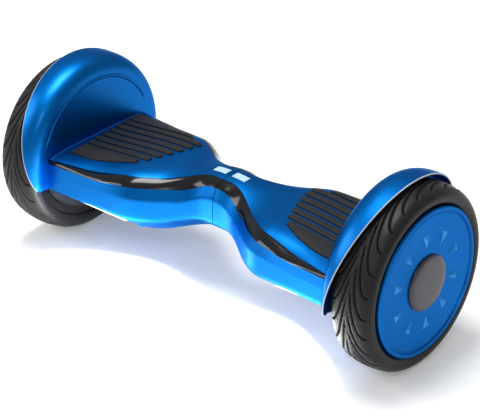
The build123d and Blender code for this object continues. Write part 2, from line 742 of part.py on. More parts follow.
motor_cover = turned([
    (motor_in - 4, bearing_radius + seated),
    (motor_in - 4, bearing_radius + 6),
    (motor_in - 3, bead_radius - 5),
    (motor_in, bead_radius - 5),
    (motor_in, bearing_radius + 6),
    (motor_in + 4, bearing_radius + 6),
    (motor_in + 4, bearing_radius + seated),
])
motor_bolt_at = (drum_radius + bead_radius - 5) / 2
for step in range(motor_bolt_count):
    angle = radians(360 / motor_bolt_count * step)
    spot = (motor_bolt_at * cos(angle), axle_z + motor_bolt_at * sin(angle))
    motor_cover -= rod("X", screw_hole, motor_in - 5, motor_in + 1, spot)
    rim -= rod("X", screw_hole, motor_in - 1, motor_in + 8, spot)
    motor_cover += rod("X", screw_radius, motor_in - 3.1, motor_in + 7, spot)
    motor_cover += rod("X", screw_head - 0.2, motor_in - 5, motor_in - 2.6, spot)


def bearing(start, end):
    """Two races and the shield between them, as one piece."""
    outer = rod("X", bearing_radius, start, end, centre, bearing_radius - 3)
    inner = rod("X", axle_radius + 2.6, start, end, centre, axle_radius + running)
    shield = rod("X", bearing_radius - 2.9, start + 0.6, end - 0.6, centre, axle_radius + 2.5)
    return outer + inner + shield


inner_bearing = (motor_in - 4, motor_in + 4)
outer_bearing = (web_x - 6, web_x + 2)
hub_bearings = [bearing(*inner_bearing), bearing(*outer_bearing)]
axle = rod("X", axle_radius, saddle_x[0] - 4, outer_bearing[1] - 0.5, centre)
axle += rod("X", carrier_radius, inner_bearing[1] + 0.4, outer_bearing[0] - 0.4, centre)
axle -= rod("X", 3.0, saddle_x[0] - 5, saddle_x[1], centre)

stator_x = (tyre_x - stator_half, tyre_x + stator_half)
yoke_radius = stator_radius - yoke_depth
hole_at = (yoke_radius + carrier_radius) / 2
hole_radius = (yoke_radius - carrier_radius) / 2 - 7
stator_core = rod("X", yoke_radius, *stator_x, centre, carrier_radius + seated)
for step in range(6):
    angle = radians(60 * step)
    hole_spot = (hole_at * cos(angle), axle_z + hole_at * sin(angle))
    stator_core -= rod("X", hole_radius, *stator_x, hole_spot)
coil_room = (stator_x[0] - 0.1, stator_x[1] + 0.1)
tooth = block(stator_x, (-tooth_half, tooth_half), (yoke_radius - 1, stator_radius - 2.5))
shoe = block(stator_x, (-shoe_half, shoe_half), (stator_radius - 3.1, drum_radius))
coil_x = (stator_x[0] - 3, stator_x[1] + 3)
coil = block(coil_x, (-coil_half, coil_half), (yoke_radius + 2, stator_radius - 3.7))
coil -= block(coil_room, (-tooth_half - 0.1, tooth_half + 0.1), (yoke_radius - 6, drum_radius))
stator_windings = []
for step in range(tooth_count):
    turn = Pos(0, 0, axle_z) * Rot(360 / tooth_count * step, 0, 0)
    stator_core += turn * tooth + turn * shoe
    stator_windings.append(turn * coil)
stator_core = stator_core & rod("X", stator_radius, *stator_x, centre)


def tyre_profile():
    half = tyre_width / 2
    radius = tyre_diameter / 2
    side = [
        (bead_half, bead_radius + 0.05),
        (bead_half, bead_radius + flange_height + 1),
    ]
    bulge = [
        (bead_half + 1.9, cover_radius - 5),
        (half - 4.6, cover_radius + 2.2),
        (half, cover_radius + 8),
        (half - 2, cover_radius + 15),
        (half - 9, radius - 2.7),
        (0, radius),
    ]
    cavity = [
        (bead_half - 7, bead_radius + 0.05),
        (bead_half - 6, bead_radius + 7),
        (bead_half - 1, cover_radius - 2),
        (half - 7, cover_radius + 8),
        (half - 11, radius - 10),
        (0, radius - 8),
    ]

    def at(points, side_sign):
        return [(tyre_x + side_sign * dx, 0, axle_z + radius_at) for dx, radius_at in points]
    outer_curve = [*at(side[1:] + bulge, 1), *reversed(at(side[1:] + bulge[:-1], -1))]
    inner_curve = [*at(cavity, -1), *reversed(at(cavity[:-1], 1))]
    start = at(side, 1)
    end = at(side, -1)
    return wire_of(
        Line(start[0], start[1]),
        Spline(*outer_curve),
        Line(end[1], end[0]),
        Line(end[0], inner_curve[0]),
        Spline(*inner_curve),
        Line(inner_curve[-1], start[0]),
    )


tyre = revolve(Face(tyre_profile()), Axis((0, 0, axle_z), (1, 0, 0)))

cover_back = bead_out + flange_wall + 0.8
cover_face = tyre_x + tyre_width / 2 + 2
wheel_cover = turned([
    (cover_back, 0),
    (cover_back, cover_radius - 1),
    (cover_back + 1, cover_radius),
    (cover_face - 1.5, cover_radius),
    (cover_face, cover_radius - 2.5),
    (cover_face, cover_radius - 5.5),
    (cover_face - 2.2, cover_radius - 8),
    (cover_face - 3.4, 60),
    (cover_face - 2.6, hub_cap_radius + 2),
    (cover_face - 2.6, 0),
])
wheel_cover += rod("X", 30.0, web_x + 4, cover_back + 1, centre, 24.0)
peg_at = drum_radius - 6
for step in range(5):
    angle = radians(72 * step)
    spot = (peg_at * cos(angle), axle_z + peg_at * sin(angle))
    wheel_cover += rod("X", 4.0, web_x + 4, cover_back + 1, spot)
hub_cap = turned([
    (cover_face - 2.6, 0),
    (cover_face - 2.6, hub_cap_radius),
    (cover_face + 0.6, hub_cap_radius),
    (cover_face + 2.6, hub_cap_radius - 4),
    (cover_face + 3.0, hub_cap_radius - 12),
    (cover_face + 3.0, 0),
])

# ---- Write every node --------------------------------------------------------------------
lower_shell_left = lower_shell - socket_cut - button_cut

shared = {
    "upper_shell": upper_shell,
    "fender": fender,
    "fender_trim": fender_trim,
    "front_strip": front_strip,
    "rear_strip": rear_strip,
    "footpad": footpad,
    "indicator_window": indicator_window,
    "headlight_lens": headlight_lens,
    "headlight_board": headlight_board,
    "axle": axle,
    "axle_clamp": axle_clamp,
    "clamp_bolts": group(clamp_bolts),
    "gyro_board": gyro_board,
    "shell_screws": group(shell_screws),
    "stator_core": stator_core,
    "stator_windings": group(stator_windings),
    "magnet_ring": magnet_ring,
    "rim": rim,
    "motor_cover": motor_cover,
    "hub_bearings": group(hub_bearings),
    "tyre": tyre,
    "wheel_cover": wheel_cover,
    "hub_cap": hub_cap,
}
nodes = {}
for name, part in shared.items():
    nodes["right_" + name] = part
    nodes["left_" + name] = mirrored(part)
nodes["right_lower_shell"] = lower_shell
nodes["left_lower_shell"] = mirrored(lower_shell_left)
nodes["right_frame"] = frame_right
nodes["left_frame"] = mirrored(frame_left)
nodes["pivot_tube"] = pivot_tube
nodes["pivot_bushes"] = group(pivot_bushes)
nodes["pivot_circlip"] = pivot_circlip
nodes["main_board"] = mirrored(main_board)
nodes["battery_pack"] = battery_pack
nodes["battery_straps"] = group(battery_straps)
nodes["charging_socket"] = mirrored(charging_socket)
nodes["charge_cap"] = mirrored(charge_cap)
nodes["power_button"] = mirrored(power_button)
nodes["button_switch"] = mirrored(button_switch)

for name, part in nodes.items():
    export_step(part, f"parts/{name}.step")
print(len(nodes), "nodes")
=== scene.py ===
import math

import bmesh
import bpy
import numpy as np
from mathutils import Matrix, Vector


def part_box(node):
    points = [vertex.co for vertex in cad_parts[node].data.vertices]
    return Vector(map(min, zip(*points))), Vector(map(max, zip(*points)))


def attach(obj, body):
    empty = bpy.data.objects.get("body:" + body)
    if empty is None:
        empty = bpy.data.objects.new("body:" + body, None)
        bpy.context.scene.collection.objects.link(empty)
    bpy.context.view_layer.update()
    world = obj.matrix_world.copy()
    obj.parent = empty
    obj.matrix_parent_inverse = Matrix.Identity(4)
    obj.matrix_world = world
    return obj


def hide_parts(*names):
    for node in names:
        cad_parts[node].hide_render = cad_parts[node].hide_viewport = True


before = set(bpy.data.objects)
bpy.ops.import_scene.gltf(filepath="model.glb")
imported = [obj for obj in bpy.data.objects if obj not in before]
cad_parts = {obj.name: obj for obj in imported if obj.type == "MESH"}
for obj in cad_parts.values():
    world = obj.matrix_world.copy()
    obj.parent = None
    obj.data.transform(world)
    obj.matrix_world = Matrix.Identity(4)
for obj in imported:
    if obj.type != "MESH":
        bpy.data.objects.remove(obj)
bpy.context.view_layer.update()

# The shapes are worked out in millimetres in the frame's own axes, on the right half at +X,
# and mirrored for the left half. Every mesh is written in metres.
MM = 0.001
SIDES = ("right", "left")


def corner(node, which):
    """A node's lowest (0) or highest (1) corner in millimetres."""
    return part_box(node)[which] / MM


# ---- Sizes taken from the frame ----------------------------------------------------------
TYRE_LOW, TYRE_HIGH = corner("right_tyre", 0), corner("right_tyre", 1)
AXLE_Z = round((TYRE_LOW.z + TYRE_HIGH.z) / 2, 1)
TYRE_X = round((TYRE_LOW.x + TYRE_HIGH.x) / 2, 1)
TYRE_RADIUS = AXLE_Z
BODY_END = corner("right_upper_shell", 1).x
FENDER_X = corner("right_fender", 0).x
FENDER_TOP = corner("right_fender", 1).z
COVER_RADIUS = corner("right_wheel_cover", 1).y
COVER_BACK = corner("right_wheel_cover", 0).x
CAP_RADIUS = corner("right_hub_cap", 1).y
CAP_FACE = corner("right_hub_cap", 1).x
COVER_FACE = CAP_FACE - 3.0
PAD_LOW = corner("right_footpad", 0)
PAD_INNER_X = PAD_LOW.x

# ---- Sizes of the body's outline ---------------------------------------------------------
SEAM_HALF = 0.5
DECK_WIDTH = 200.0
NECK_WIDTH = 80.0
FLARE = (15.0, 125.0)
SIDE_GROWTH = 7.0
SHELL_WALL = 3.4
STRIP_WALL = 2.4
STRIP_DOME = 0.8
STRIP_EDGE_EASE = 0.35
PANEL_GAP = 0.4
WINDOW_GAP = 0.3
DECK_EDGE_GAP = 0.3
CHAMFER = math.radians(35)
TUB_RADII = (14, 12, 14)
NECK_TOP = 46.0
DECK_TOP = 25.5
PAD_RISE = 11.0
NECK_BOTTOM = 38.0
BELLY = 64.5
# Heights fall in smooth steps from the seam outwards, each (fall, from x, to x).
WAIST = (10, 85)
STRIP_TOP_Z, STRIP_TOP_FALLS = 44, ((13, *WAIST), (9, 110, 190))
STRIP_LOW_Z, STRIP_LOW_FALLS = 37, ((16, 5, 55), (4, 110, 190))
SIDE_LOW_Z, SIDE_LOW_FALLS = -17, ((10, 20, 80), (-2, 110, 200))
FENDER_WALL = 2.6
FENDER_CREASE = DECK_WIDTH / 2 + 10
FENDER_DROP = 23
FENDER_HOLE = 17
FENDER_RADIUS = FENDER_TOP - AXLE_Z
FENDER_LIP_X = TYRE_X + 5
FENDER_LEAN = 0.29
TRIM_BEAD = 0.6
RIB_COUNT = 6
RIB_PITCH = 15.6
RIB_WIDE = 10.4
RIB_FIRST_Y = -28.0
RIB_PROUD = 2.5
SLOT_GAP = 0.5
PAD_OUTER_X = BODY_END - 3.6
LAMP_LENGTH = 100.0
LAMP_WIDE = 9.0
LAMP_END_X = BODY_END - 14.6
SEAL_INSET = 2.5
SEAL_HOLE = 19.0
SEAL_X = (-0.42, 0.3)


def ramp(x, start, end):
    """0 before start, 1 after end, straight between them."""
    return np.clip((np.asarray(x, float) - start) / (end - start), 0, 1)


def ease(x, start, end):
    """0 before start, 1 after end, smooth between them."""
    t = ramp(x, start, end)
    return t * t * (3 - 2 * t)


def fallen(x, height, falls):
    """A height above the axle after its falls."""
    return AXLE_Z + height - sum(fall * ease(x, *span) for fall, *span in falls)


def half_width(x):
    """Half the body's width across at x."""
    flare = (DECK_WIDTH - NECK_WIDTH) / 2 - SIDE_GROWTH
    return NECK_WIDTH / 2 + flare * ease(x, *FLARE) + SIDE_GROWTH * ramp(x, FLARE[1], BODY_END)


def strip_top(x):
    """(y, z) of the accent strip's upper edge."""
    tilt = ramp(x, 200, BODY_END)
    return half_width(x) - 22 + 19 * ramp(x, 95, BODY_END), fallen(x, STRIP_TOP_Z, STRIP_TOP_FALLS) - tilt


def strip_low(x):
    """(y, z) of the accent strip's lower edge."""
    tilt = 2 * ramp(x, 200, BODY_END)
    return half_width(x) - 7 + 7 * ramp(x, 95, 155), fallen(x, STRIP_LOW_Z, STRIP_LOW_FALLS) - tilt


def crown_z(x):
    """Height of the deck along its middle."""
    return fallen(x, NECK_TOP, ((NECK_TOP - DECK_TOP - PAD_RISE, *WAIST), (PAD_RISE, 110, BODY_END)))


def deck_z(x, y):
    """Height of the deck's surface over a point in plan."""
    edge_y, edge_z = strip_top(x)
    power = 2 + 5 * ramp(x, 60, 140)
    share = np.clip(np.abs(y) / (edge_y - DECK_EDGE_GAP), 0, 1)
    return edge_z + (crown_z(x) - edge_z) * (1 - share ** power)


def lower_corners(x, inset):
    """Corners of the lower shell's section on one side, from the strip to the belly."""
    wide = float(half_width(x)) - inset
    top_y, top_z = (float(v) for v in strip_low(x))
    side_low = float(fallen(x, SIDE_LOW_Z, SIDE_LOW_FALLS))
    belly = float(fallen(x, -NECK_BOTTOM, ((BELLY - NECK_BOTTOM, FLARE[0], 140),)))
    lean = float(half_width(x)) * math.sin(CHAMFER) - side_low * math.cos(CHAMFER) - inset
    turn_z = (wide * math.sin(CHAMFER) - lean) / math.cos(CHAMFER)
    low_z = belly + inset
    low_y = (lean + low_z * math.cos(CHAMFER)) / math.sin(CHAMFER)
    return [(top_y - 1.2 - inset, top_z - PANEL_GAP), (wide, top_z - 16), (wide, turn_z), (low_y, low_z)]


def rounded(points, radii, arc_steps, line_steps):
    """The path through the corner points with its corners rounded, as a list of points."""
    points = [np.array(point, float) for point in points]
    arcs = []
    for before, here, after, radius in zip(points, points[1:], points[2:], radii):
        back = (before - here) / np.linalg.norm(before - here)
        on = (after - here) / np.linalg.norm(after - here)
        half = math.acos(np.clip(back @ on, -1, 1)) / 2
        turn = math.pi - 2 * half
        centre = here + (back + on) / np.linalg.norm(back + on) * radius / math.sin(half)
        first = here + back * radius / math.tan(half) - centre
        last = here + on * radius / math.tan(half) - centre
        arc = []
        for t in np.linspace(0, 1, arc_steps + 1):
            mix = first * math.sin((1 - t) * turn) + last * math.sin(t * turn)
            arc.append(centre + mix / math.sin(turn))
        arcs.append(arc)
    path = []
    place = points[0]
    for arc in arcs + [[points[-1]]]:
        path += [place + (arc[0] - place) * t for t in np.linspace(0, 1, line_steps, endpoint=False)]
        path += arc[:-1]
        place = arc[-1]
    return path + [place]


def arc_through(start, middle, end, steps):
    """Points of the circular arc through three points in plan, without the last one."""
    (ax, ay), (bx, by), (cx, cy) = start, middle, end
    d = 2 * (ax * (by - cy) + bx * (cy - ay) + cx * (ay - by))
    a2, b2, c2 = ax * ax + ay * ay, bx * bx + by * by, cx * cx + cy * cy
    ux = (a2 * (by - cy) + b2 * (cy - ay) + c2 * (ay - by)) / d
    uy = (a2 * (cx - bx) + b2 * (ax - cx) + c2 * (bx - ax)) / d
    first = math.atan2(ay - uy, ax - ux)
    across = (math.atan2(by - uy, bx - ux) - first) % (2 * math.pi)
    sweep = (math.atan2(cy - uy, cx - ux) - first) % (2 * math.pi)
    if across > sweep:
        sweep -= 2 * math.pi
    radius = math.hypot(ax - ux, ay - uy)
    angles = [first + sweep * step / steps for step in range(steps)]
    return [(ux + radius * math.cos(angle), uy + radius * math.sin(angle)) for angle in angles]


# ---- Mesh helpers ------------------------------------------------------------------------
def side_points(points, side):
    """Points in millimetres as metres, mirrored for the left half."""
    out = np.array(points, float).reshape(-1, 3) * MM
    if side == "left":
        out[:, 0] *= -1
    return out


def mesh_object(name, points, faces, side="right"):
    """A mesh whose faces are given for the right half; mirrored faces are turned round."""
    mesh = bpy.data.meshes.new(name)
    if side == "left":
        faces = [tuple(reversed(face)) for face in faces]
    mesh.from_pydata(side_points(points, side).tolist(), [], faces)
    mesh.update()
    piece = bpy.data.objects.new(name, mesh)
    bpy.context.scene.collection.objects.link(piece)
    return piece


def grid_faces(rows, columns, wrap_rows=False, wrap_columns=False):
    """Four-sided faces between points laid out in rows."""
    faces = []
    for row in range(rows if wrap_rows else rows - 1):
        for column in range(columns if wrap_columns else columns - 1):
            a = row * columns + column
            b = row * columns + (column + 1) % columns
            c = ((row + 1) % rows) * columns + (column + 1) % columns
            d = ((row + 1) % rows) * columns + column
            faces.append((a, b, c, d))
    return faces


def swept(name, loops, side="right", closed=False):
    """A skin over loops of equally many points; its ends are capped unless it closes."""
    columns = len(loops[0])
    faces = grid_faces(len(loops), columns, wrap_rows=closed, wrap_columns=True)
    if not closed:
        last = (len(loops) - 1) * columns
        faces += [tuple(range(columns)), tuple(range(last, last + columns))]
    return recalculated(mesh_object(name, [point for loop in loops for point in loop], faces, side))


def recalculated(piece):
    """Merges doubled points and turns every face outwards."""
    work = bmesh.new()
    work.from_mesh(piece.data)
    bmesh.ops.remove_doubles(work, verts=work.verts, dist=1e-6)
    bmesh.ops.dissolve_degenerate(work, edges=work.edges, dist=1e-7)
    bmesh.ops.recalc_face_normals(work, faces=work.faces)
    work.to_mesh(piece.data)
    work.free()
    return piece


def baked(piece):
    """Replaces the piece's mesh by what its modifiers make of it."""
    graph = bpy.context.evaluated_depsgraph_get()
    result = bpy.data.meshes.new_from_object(piece.evaluated_get(graph))
    piece.modifiers.clear()
    piece.data = result
    return piece


def carved(piece, cutters):
    """Cuts the cutter objects out of the piece."""
    for cutter in cutters:
        cut = piece.modifiers.new("cut", "BOOLEAN")
        cut.operation = "DIFFERENCE"
        cut.solver = "EXACT"
        cut.object = cutter
    baked(piece)
    for cutter in cutters:
        bpy.data.objects.remove(cutter)
    return piece


def joined(pieces, name):
    """One object that holds the meshes of several."""
    work = bmesh.new()
    for piece in pieces:
        work.from_mesh(piece.data)
        bpy.data.objects.remove(piece)
    mesh = bpy.data.meshes.new(name)
    work.to_mesh(mesh)
    work.free()
    whole = bpy.data.objects.new(name, mesh)
    bpy.context.scene.collection.objects.link(whole)
    return whole


def at_turn(place, turn):
    """The point at (x, radius), turned about the wheel axis from straight up."""
    x, radius = place
    return x, radius * math.sin(turn), AXLE_Z + radius * math.cos(turn)


def smoothed(piece, angle=35):
    """Smooth shading that keeps edges sharper than the angle."""
    piece.data.shade_smooth()
    piece.data.set_sharp_from_angle(angle=math.radians(angle))
    return piece


def prism(name, outline, low, high, side="right"):
    """A closed plan outline raised from low to high."""
    return swept(name, [[(x, y, z) for x, y in outline] for z in (low, high)], side)


def bar(name, start, end, radius, side="right", bore=0.0, steps=32):
    """A round bar or tube between two points."""
    start, end = np.array(start, float), np.array(end, float)
    along = (end - start) / np.linalg.norm(end - start)
    across = np.cross(along, (0.3, 0.5, 0.81) if abs(along[2]) < 0.9 else (1.0, 0.0, 0.0))
    across /= np.linalg.norm(across)
    third = np.cross(along, across)
    turns = [2 * math.pi * step / steps for step in range(steps)]
    ends = [(start, radius), (end, radius)] + ([(end, bore), (start, bore)] if bore else [])
    rings = [[at + size * (math.cos(t) * across + math.sin(t) * third) for t in turns] for at, size in ends]
    return swept(name, rings, side, closed=bool(bore))


def finished(piece, finish, body, *nodes):
    """Paints the piece if it is unpainted, lets it ride on its body and stand for its CAD nodes."""
    if not piece.data.materials:
        piece.data.materials.append(FINISH[finish])
    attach(piece, body)
    if nodes:
        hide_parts(*nodes)
    return piece


def revolved(name, profile, side, steps=128):
    """A ring from a (x, radius) profile about the wheel axis; radius 0 closes at a pole."""
    turns = [2 * math.pi * step / steps for step in range(steps)]
    return swept(name, [[at_turn(place, turn) for place in profile] for turn in turns], side, closed=True)


# ---- Shared surface effects --------------------------------------------------------------
def new_group(name, inputs, outputs):
    """An empty shader node group with named value inputs and typed outputs."""
    tree = bpy.data.node_groups.new(name, "ShaderNodeTree")
    for label, value in inputs:
        socket = tree.interface.new_socket(label, in_out="INPUT", socket_type="NodeSocketFloat")
        socket.default_value = value
    for label, kind in outputs:
        tree.interface.new_socket(label, in_out="OUTPUT", socket_type=kind)
    return tree, tree.nodes.new("NodeGroupInput"), tree.nodes.new("NodeGroupOutput")


def linked(tree, source, target):
    """Joins an output socket to an input socket."""
    tree.links.new(source, target)


def math_node(tree, operation, *values):
    """A Math node's result; each value is a number or a socket."""
    node = tree.nodes.new("ShaderNodeMath")
    node.operation = operation
    for place, value in enumerate(values):
        if isinstance(value, (int, float)):
            node.inputs[place].default_value = value
        else:
            linked(tree, value, node.inputs[place])
    return node.outputs[0]


def object_noise(tree, scale, detail=4.0, rough=0.5, stretch=None):
    """Noise on Object coordinates; scale is a number or a socket, in features per metre."""
    place = tree.nodes.new("ShaderNodeTexCoord").outputs["Object"]
    if stretch:
        mapping = tree.nodes.new("ShaderNodeMapping")
        mapping.inputs["Scale"].default_value = stretch
        linked(tree, place, mapping.inputs["Vector"])
        place = mapping.outputs["Vector"]
    noise = tree.nodes.new("ShaderNodeTexNoise")
    noise.inputs["Detail"].default_value = detail
    noise.inputs["Roughness"].default_value = rough
    linked(tree, place, noise.inputs["Vector"])
    if isinstance(scale, (int, float)):
        noise.inputs["Scale"].default_value = scale
    else:
        linked(tree, scale, noise.inputs["Scale"])
    return noise.outputs["Fac"]


def build_grain():
    """Fine moulded grain: a height for bump and a value for tone."""
    outputs = [("Height", "NodeSocketFloat"), ("Tone", "NodeSocketFloat")]
    sizes = [("Scale", 900.0), ("Drift Scale", 14.0)]
    tree, given, result = new_group("moulded_grain", sizes, outputs)
    linked(tree, object_noise(tree, given.outputs["Scale"], 3.0, 0.6), result.inputs["Height"])
    linked(tree, object_noise(tree, given.outputs["Drift Scale"], 3.0, 0.55), result.inputs["Tone"])
    return tree


def build_scuffs():
    """Faint rubbed streaks along the direction of use, as a mask."""
    tree, given, result = new_group("scuffs", [("Amount", 0.3)], [("Mask", "NodeSocketFloat")])
    streak = object_noise(tree, 60.0, 6.0, 0.7, stretch=(0.25, 1.0, 1.0))
    patch = object_noise(tree, 9.0, 2.0, 0.5)
    sharp = math_node(tree, "MULTIPLY", streak, patch)
    spread = math_node(tree, "MULTIPLY_ADD", sharp, 5.0, -1.15)
    clean = tree.nodes.new("ShaderNodeClamp")
    linked(tree, spread, clean.inputs["Value"])
    mask = math_node(tree, "MULTIPLY", clean.outputs[0], given.outputs["Amount"])
    linked(tree, mask, result.inputs["Mask"])
    return tree


def build_dust():
    """Thin dust that lies on faces that look up, as a mask."""
    tree, given, result = new_group("settled_dust", [("Amount", 0.2)], [("Mask", "NodeSocketFloat")])
    facing = tree.nodes.new("ShaderNodeNewGeometry")
    split = tree.nodes.new("ShaderNodeSeparateXYZ")
    linked(tree, facing.outputs["Normal"], split.inputs[0])
    upward = math_node(tree, "MAXIMUM", split.outputs["Z"], 0.0)
    patch = object_noise(tree, 35.0, 5.0, 0.65)
    mask = math_node(tree, "MULTIPLY", upward, patch)
    linked(tree, math_node(tree, "MULTIPLY", mask, given.outputs["Amount"]), result.inputs["Mask"])
    return tree


GROUPS = {"grain": build_grain(), "scuffs": build_scuffs(), "dust": build_dust()}


def placed_group(tree, name, **values):
    """One of the shared groups, with this material's own values."""
    node = tree.nodes.new("ShaderNodeGroup")
    node.node_tree = GROUPS[name]
    for label, value in values.items():
        node.inputs[label.replace("_", " ").title()].default_value = value
    return node


def colour_mix(tree, first, second, share):
    """Mixes two colours, each a value or a socket, by a socket."""
    mix = tree.nodes.new("ShaderNodeMix")
    mix.data_type = "RGBA"
    for socket, value in ((mix.inputs["A"], first), (mix.inputs["B"], second)):
        if isinstance(value, tuple):
            socket.default_value = (*value, 1.0)
        else:
            linked(tree, value, socket)
    linked(tree, share, mix.inputs["Factor"])
    return mix.outputs["Result"]


DUST_COLOUR = (0.42, 0.40, 0.37)
# Painted shade at the bottom of the tyre's grooves.
GROOVE_SHADE = (0.0015, 0.0015, 0.0015)


def finish_of(name, colour, second, rough, grain=(900.0, 0.1), drift=14.0, scuff=0.3, dust=0.15, **shader):
    """A material: two tones, grain, scuffs that dull the gloss, and dust on what faces up."""
    material = bpy.data.materials.new(name)
    material.use_nodes = True
    tree = material.node_tree
    surface = tree.nodes["Principled BSDF"]
    texture = placed_group(tree, "grain", scale=grain[0], drift_scale=drift)
    rubbed = placed_group(tree, "scuffs", amount=scuff)
    dusty = placed_group(tree, "dust", amount=dust)
    toned = colour_mix(tree, colour, second, texture.outputs["Tone"])
    paler = tuple(min(1.0, c * 1.5 + 0.02) for c in second)
    worn = colour_mix(tree, toned, paler, rubbed.outputs["Mask"])
    covered = colour_mix(tree, worn, DUST_COLOUR, dusty.outputs["Mask"])
    linked(tree, covered, surface.inputs["Base Color"])
    dull = math_node(tree, "MULTIPLY_ADD", rubbed.outputs["Mask"], 0.25, rough)
    fine = math_node(tree, "MULTIPLY_ADD", texture.outputs["Height"], 0.08, dull)
    matt = math_node(tree, "MULTIPLY_ADD", dusty.outputs["Mask"], 0.3, fine)
    linked(tree, matt, surface.inputs["Roughness"])
    bump = tree.nodes.new("ShaderNodeBump")
    bump.inputs["Strength"].default_value = grain[1]
    bump.inputs["Distance"].default_value = 0.0003
    linked(tree, texture.outputs["Height"], bump.inputs["Height"])
    linked(tree, bump.outputs["Normal"], surface.inputs["Normal"])
    for label, value in shader.items():
        socket = label.replace("_", " ").title().replace("Ior", "IOR")
        surface.inputs[socket].default_value = value
    return material


def lamp_glow(name, colour, strength):
    """A lit diffuser: milky, with an even glow."""
    material = finish_of(name, (0.85, 0.88, 0.92), (0.95, 0.96, 1.0), 0.25, scuff=0.1, dust=0.0)
    surface = material.node_tree.nodes["Principled BSDF"]
    surface.inputs["Emission Color"].default_value = (*colour, 1.0)
    surface.inputs["Emission Strength"].default_value = strength
    return material


FINISH = {
    "shell_blue": finish_of(
        "satin_blue", (0.0, 0.105, 0.365), (0.0, 0.128, 0.42), 0.36, (1500.0, 0.05), 9.0, 0.08, 0.0,
        metallic=1.0, specular_tint=(0.25, 0.6, 1.0, 1.0), coat_weight=0.10, coat_roughness=0.22),
    # Paler, less metallic blue for the cover's darts: a painted highlight on their facets.
    "painted_lit_dart_blue": finish_of(
        "bright_blue", (0.0, 0.235, 0.66), (0.01, 0.275, 0.73), 0.36, (1500.0, 0.05), 9.0, 0.08, 0.0,
        metallic=0.35),
    "shell_black": finish_of(
        "gloss_black", (0.003, 0.003, 0.004), (0.005, 0.005, 0.006), 0.10, (1200.0, 0.02), 9.0, 0.1, 0.0,
        specular_ior_level=0.33, coat_weight=0.12, coat_roughness=0.04),
    # Pale edging for the fender's lip: a painted highlight of the lip's edge.
    "trim_light": finish_of(
        "light_edging", (0.42, 0.50, 0.54), (0.52, 0.60, 0.64), 0.35, scuff=0.2, dust=0.03),
    "pad_rubber": finish_of(
        "ribbed_rubber", (0.008, 0.008, 0.010), (0.014, 0.014, 0.017), 0.55, (1400.0, 0.5), 20.0, 0.15, 0.01,
        specular_ior_level=0.2),
    "tyre": finish_of(
        "tyre_rubber", (0.008, 0.007, 0.007), (0.014, 0.012, 0.012), 0.37, (1100.0, 0.4), 18.0, 0.2, 0.01,
        specular_ior_level=0.2),
    "cap_grey": finish_of(
        "satin_grey", (0.040, 0.036, 0.045), (0.055, 0.050, 0.061), 0.27, (1300.0, 0.15), 12.0, 0.12, 0.02,
        metallic=0.3),
    "clear": finish_of(
        "clear_window", (0.36, 0.53, 0.66), (0.46, 0.62, 0.74), 0.06, (900.0, 0.0), scuff=0.1, dust=0.0),
    "cast_alloy": finish_of(
        "cast_alloy", (0.42, 0.43, 0.44), (0.55, 0.55, 0.56), 0.42, (500.0, 0.5), 25.0, 0.3, 0.1,
        metallic=1.0),
    "steel": finish_of(
        "turned_steel", (0.42, 0.42, 0.44), (0.52, 0.52, 0.53), 0.26, (2500.0, 0.2), 30.0, 0.3, 0.0,
        metallic=1.0),
    "copper": finish_of(
        "enamelled_copper", (0.55, 0.20, 0.07), (0.68, 0.28, 0.10), 0.28, (700.0, 0.6), metallic=1.0),
    "magnet": finish_of("nickel_plate", (0.35, 0.34, 0.32), (0.45, 0.44, 0.42), 0.2, metallic=1.0),
    "circuit": finish_of(
        "circuit_board", (0.004, 0.06, 0.02), (0.01, 0.10, 0.035), 0.38, (300.0, 0.3), 120.0),
    "heat_sink": finish_of(
        "heat_sink", (0.34, 0.35, 0.37), (0.45, 0.46, 0.47), 0.38, (900.0, 0.3), metallic=1.0),
    "battery": finish_of(
        "shrink_sleeve", (0.01, 0.045, 0.20), (0.015, 0.06, 0.26), 0.3, (300.0, 0.6), 30.0),
    "bush": finish_of(
        "sintered_bronze", (0.42, 0.30, 0.12), (0.52, 0.38, 0.16), 0.4, (1500.0, 0.5), metallic=1.0),
    "dark_wheel": finish_of(
        "dark_enamel", (0.010, 0.010, 0.011), (0.016, 0.016, 0.017), 0.38, (900.0, 0.3)),
    "black_plastic": finish_of(
        "satin_black", (0.012, 0.012, 0.013), (0.02, 0.02, 0.021), 0.42, (1300.0, 0.3)),
}


def shaded_in_grooves(material):
    """Paints shade into the tread's grooves: makes the rubber darker and duller where the groove attribute
    is high.
    """
    tree = material.node_tree
    surface = tree.nodes["Principled BSDF"]
    groove = tree.nodes.new("ShaderNodeAttribute")
    groove.attribute_name = "groove"
    base = surface.inputs["Base Color"].links[0].from_socket
    darker = colour_mix(tree, base, GROOVE_SHADE, groove.outputs["Fac"])
    linked(tree, darker, surface.inputs["Base Color"])
    rough = surface.inputs["Roughness"].links[0].from_socket
    duller = math_node(tree, "MULTIPLY_ADD", groove.outputs["Fac"], 0.45, rough)
    linked(tree, duller, surface.inputs["Roughness"])


shaded_in_grooves(FINISH["tyre"])
LIT_LENS = lamp_glow("lit_diffuser", (0.86, 0.93, 1.0), 9.0)

INNER_FINISHES = {
    "headlight_board": "circuit", "frame": "cast_alloy", "axle": "steel", "axle_clamp": "cast_alloy",
    "clamp_bolts": "steel", "gyro_board": "circuit", "shell_screws": "steel", "stator_core": "steel",
    "stator_windings": "copper", "magnet_ring": "magnet", "rim": "cast_alloy", "motor_cover": "cast_alloy",
    "hub_bearings": "steel", "indicator_window": "clear", "pivot_tube": "steel", "pivot_bushes": "bush",
    "pivot_circlip": "steel", "main_board": "heat_sink", "battery_pack": "battery",
    "battery_straps": "steel", "charging_socket": "black_plastic", "charge_cap": "pad_rubber",
    "power_button": "cap_grey", "button_switch": "black_plastic",
}


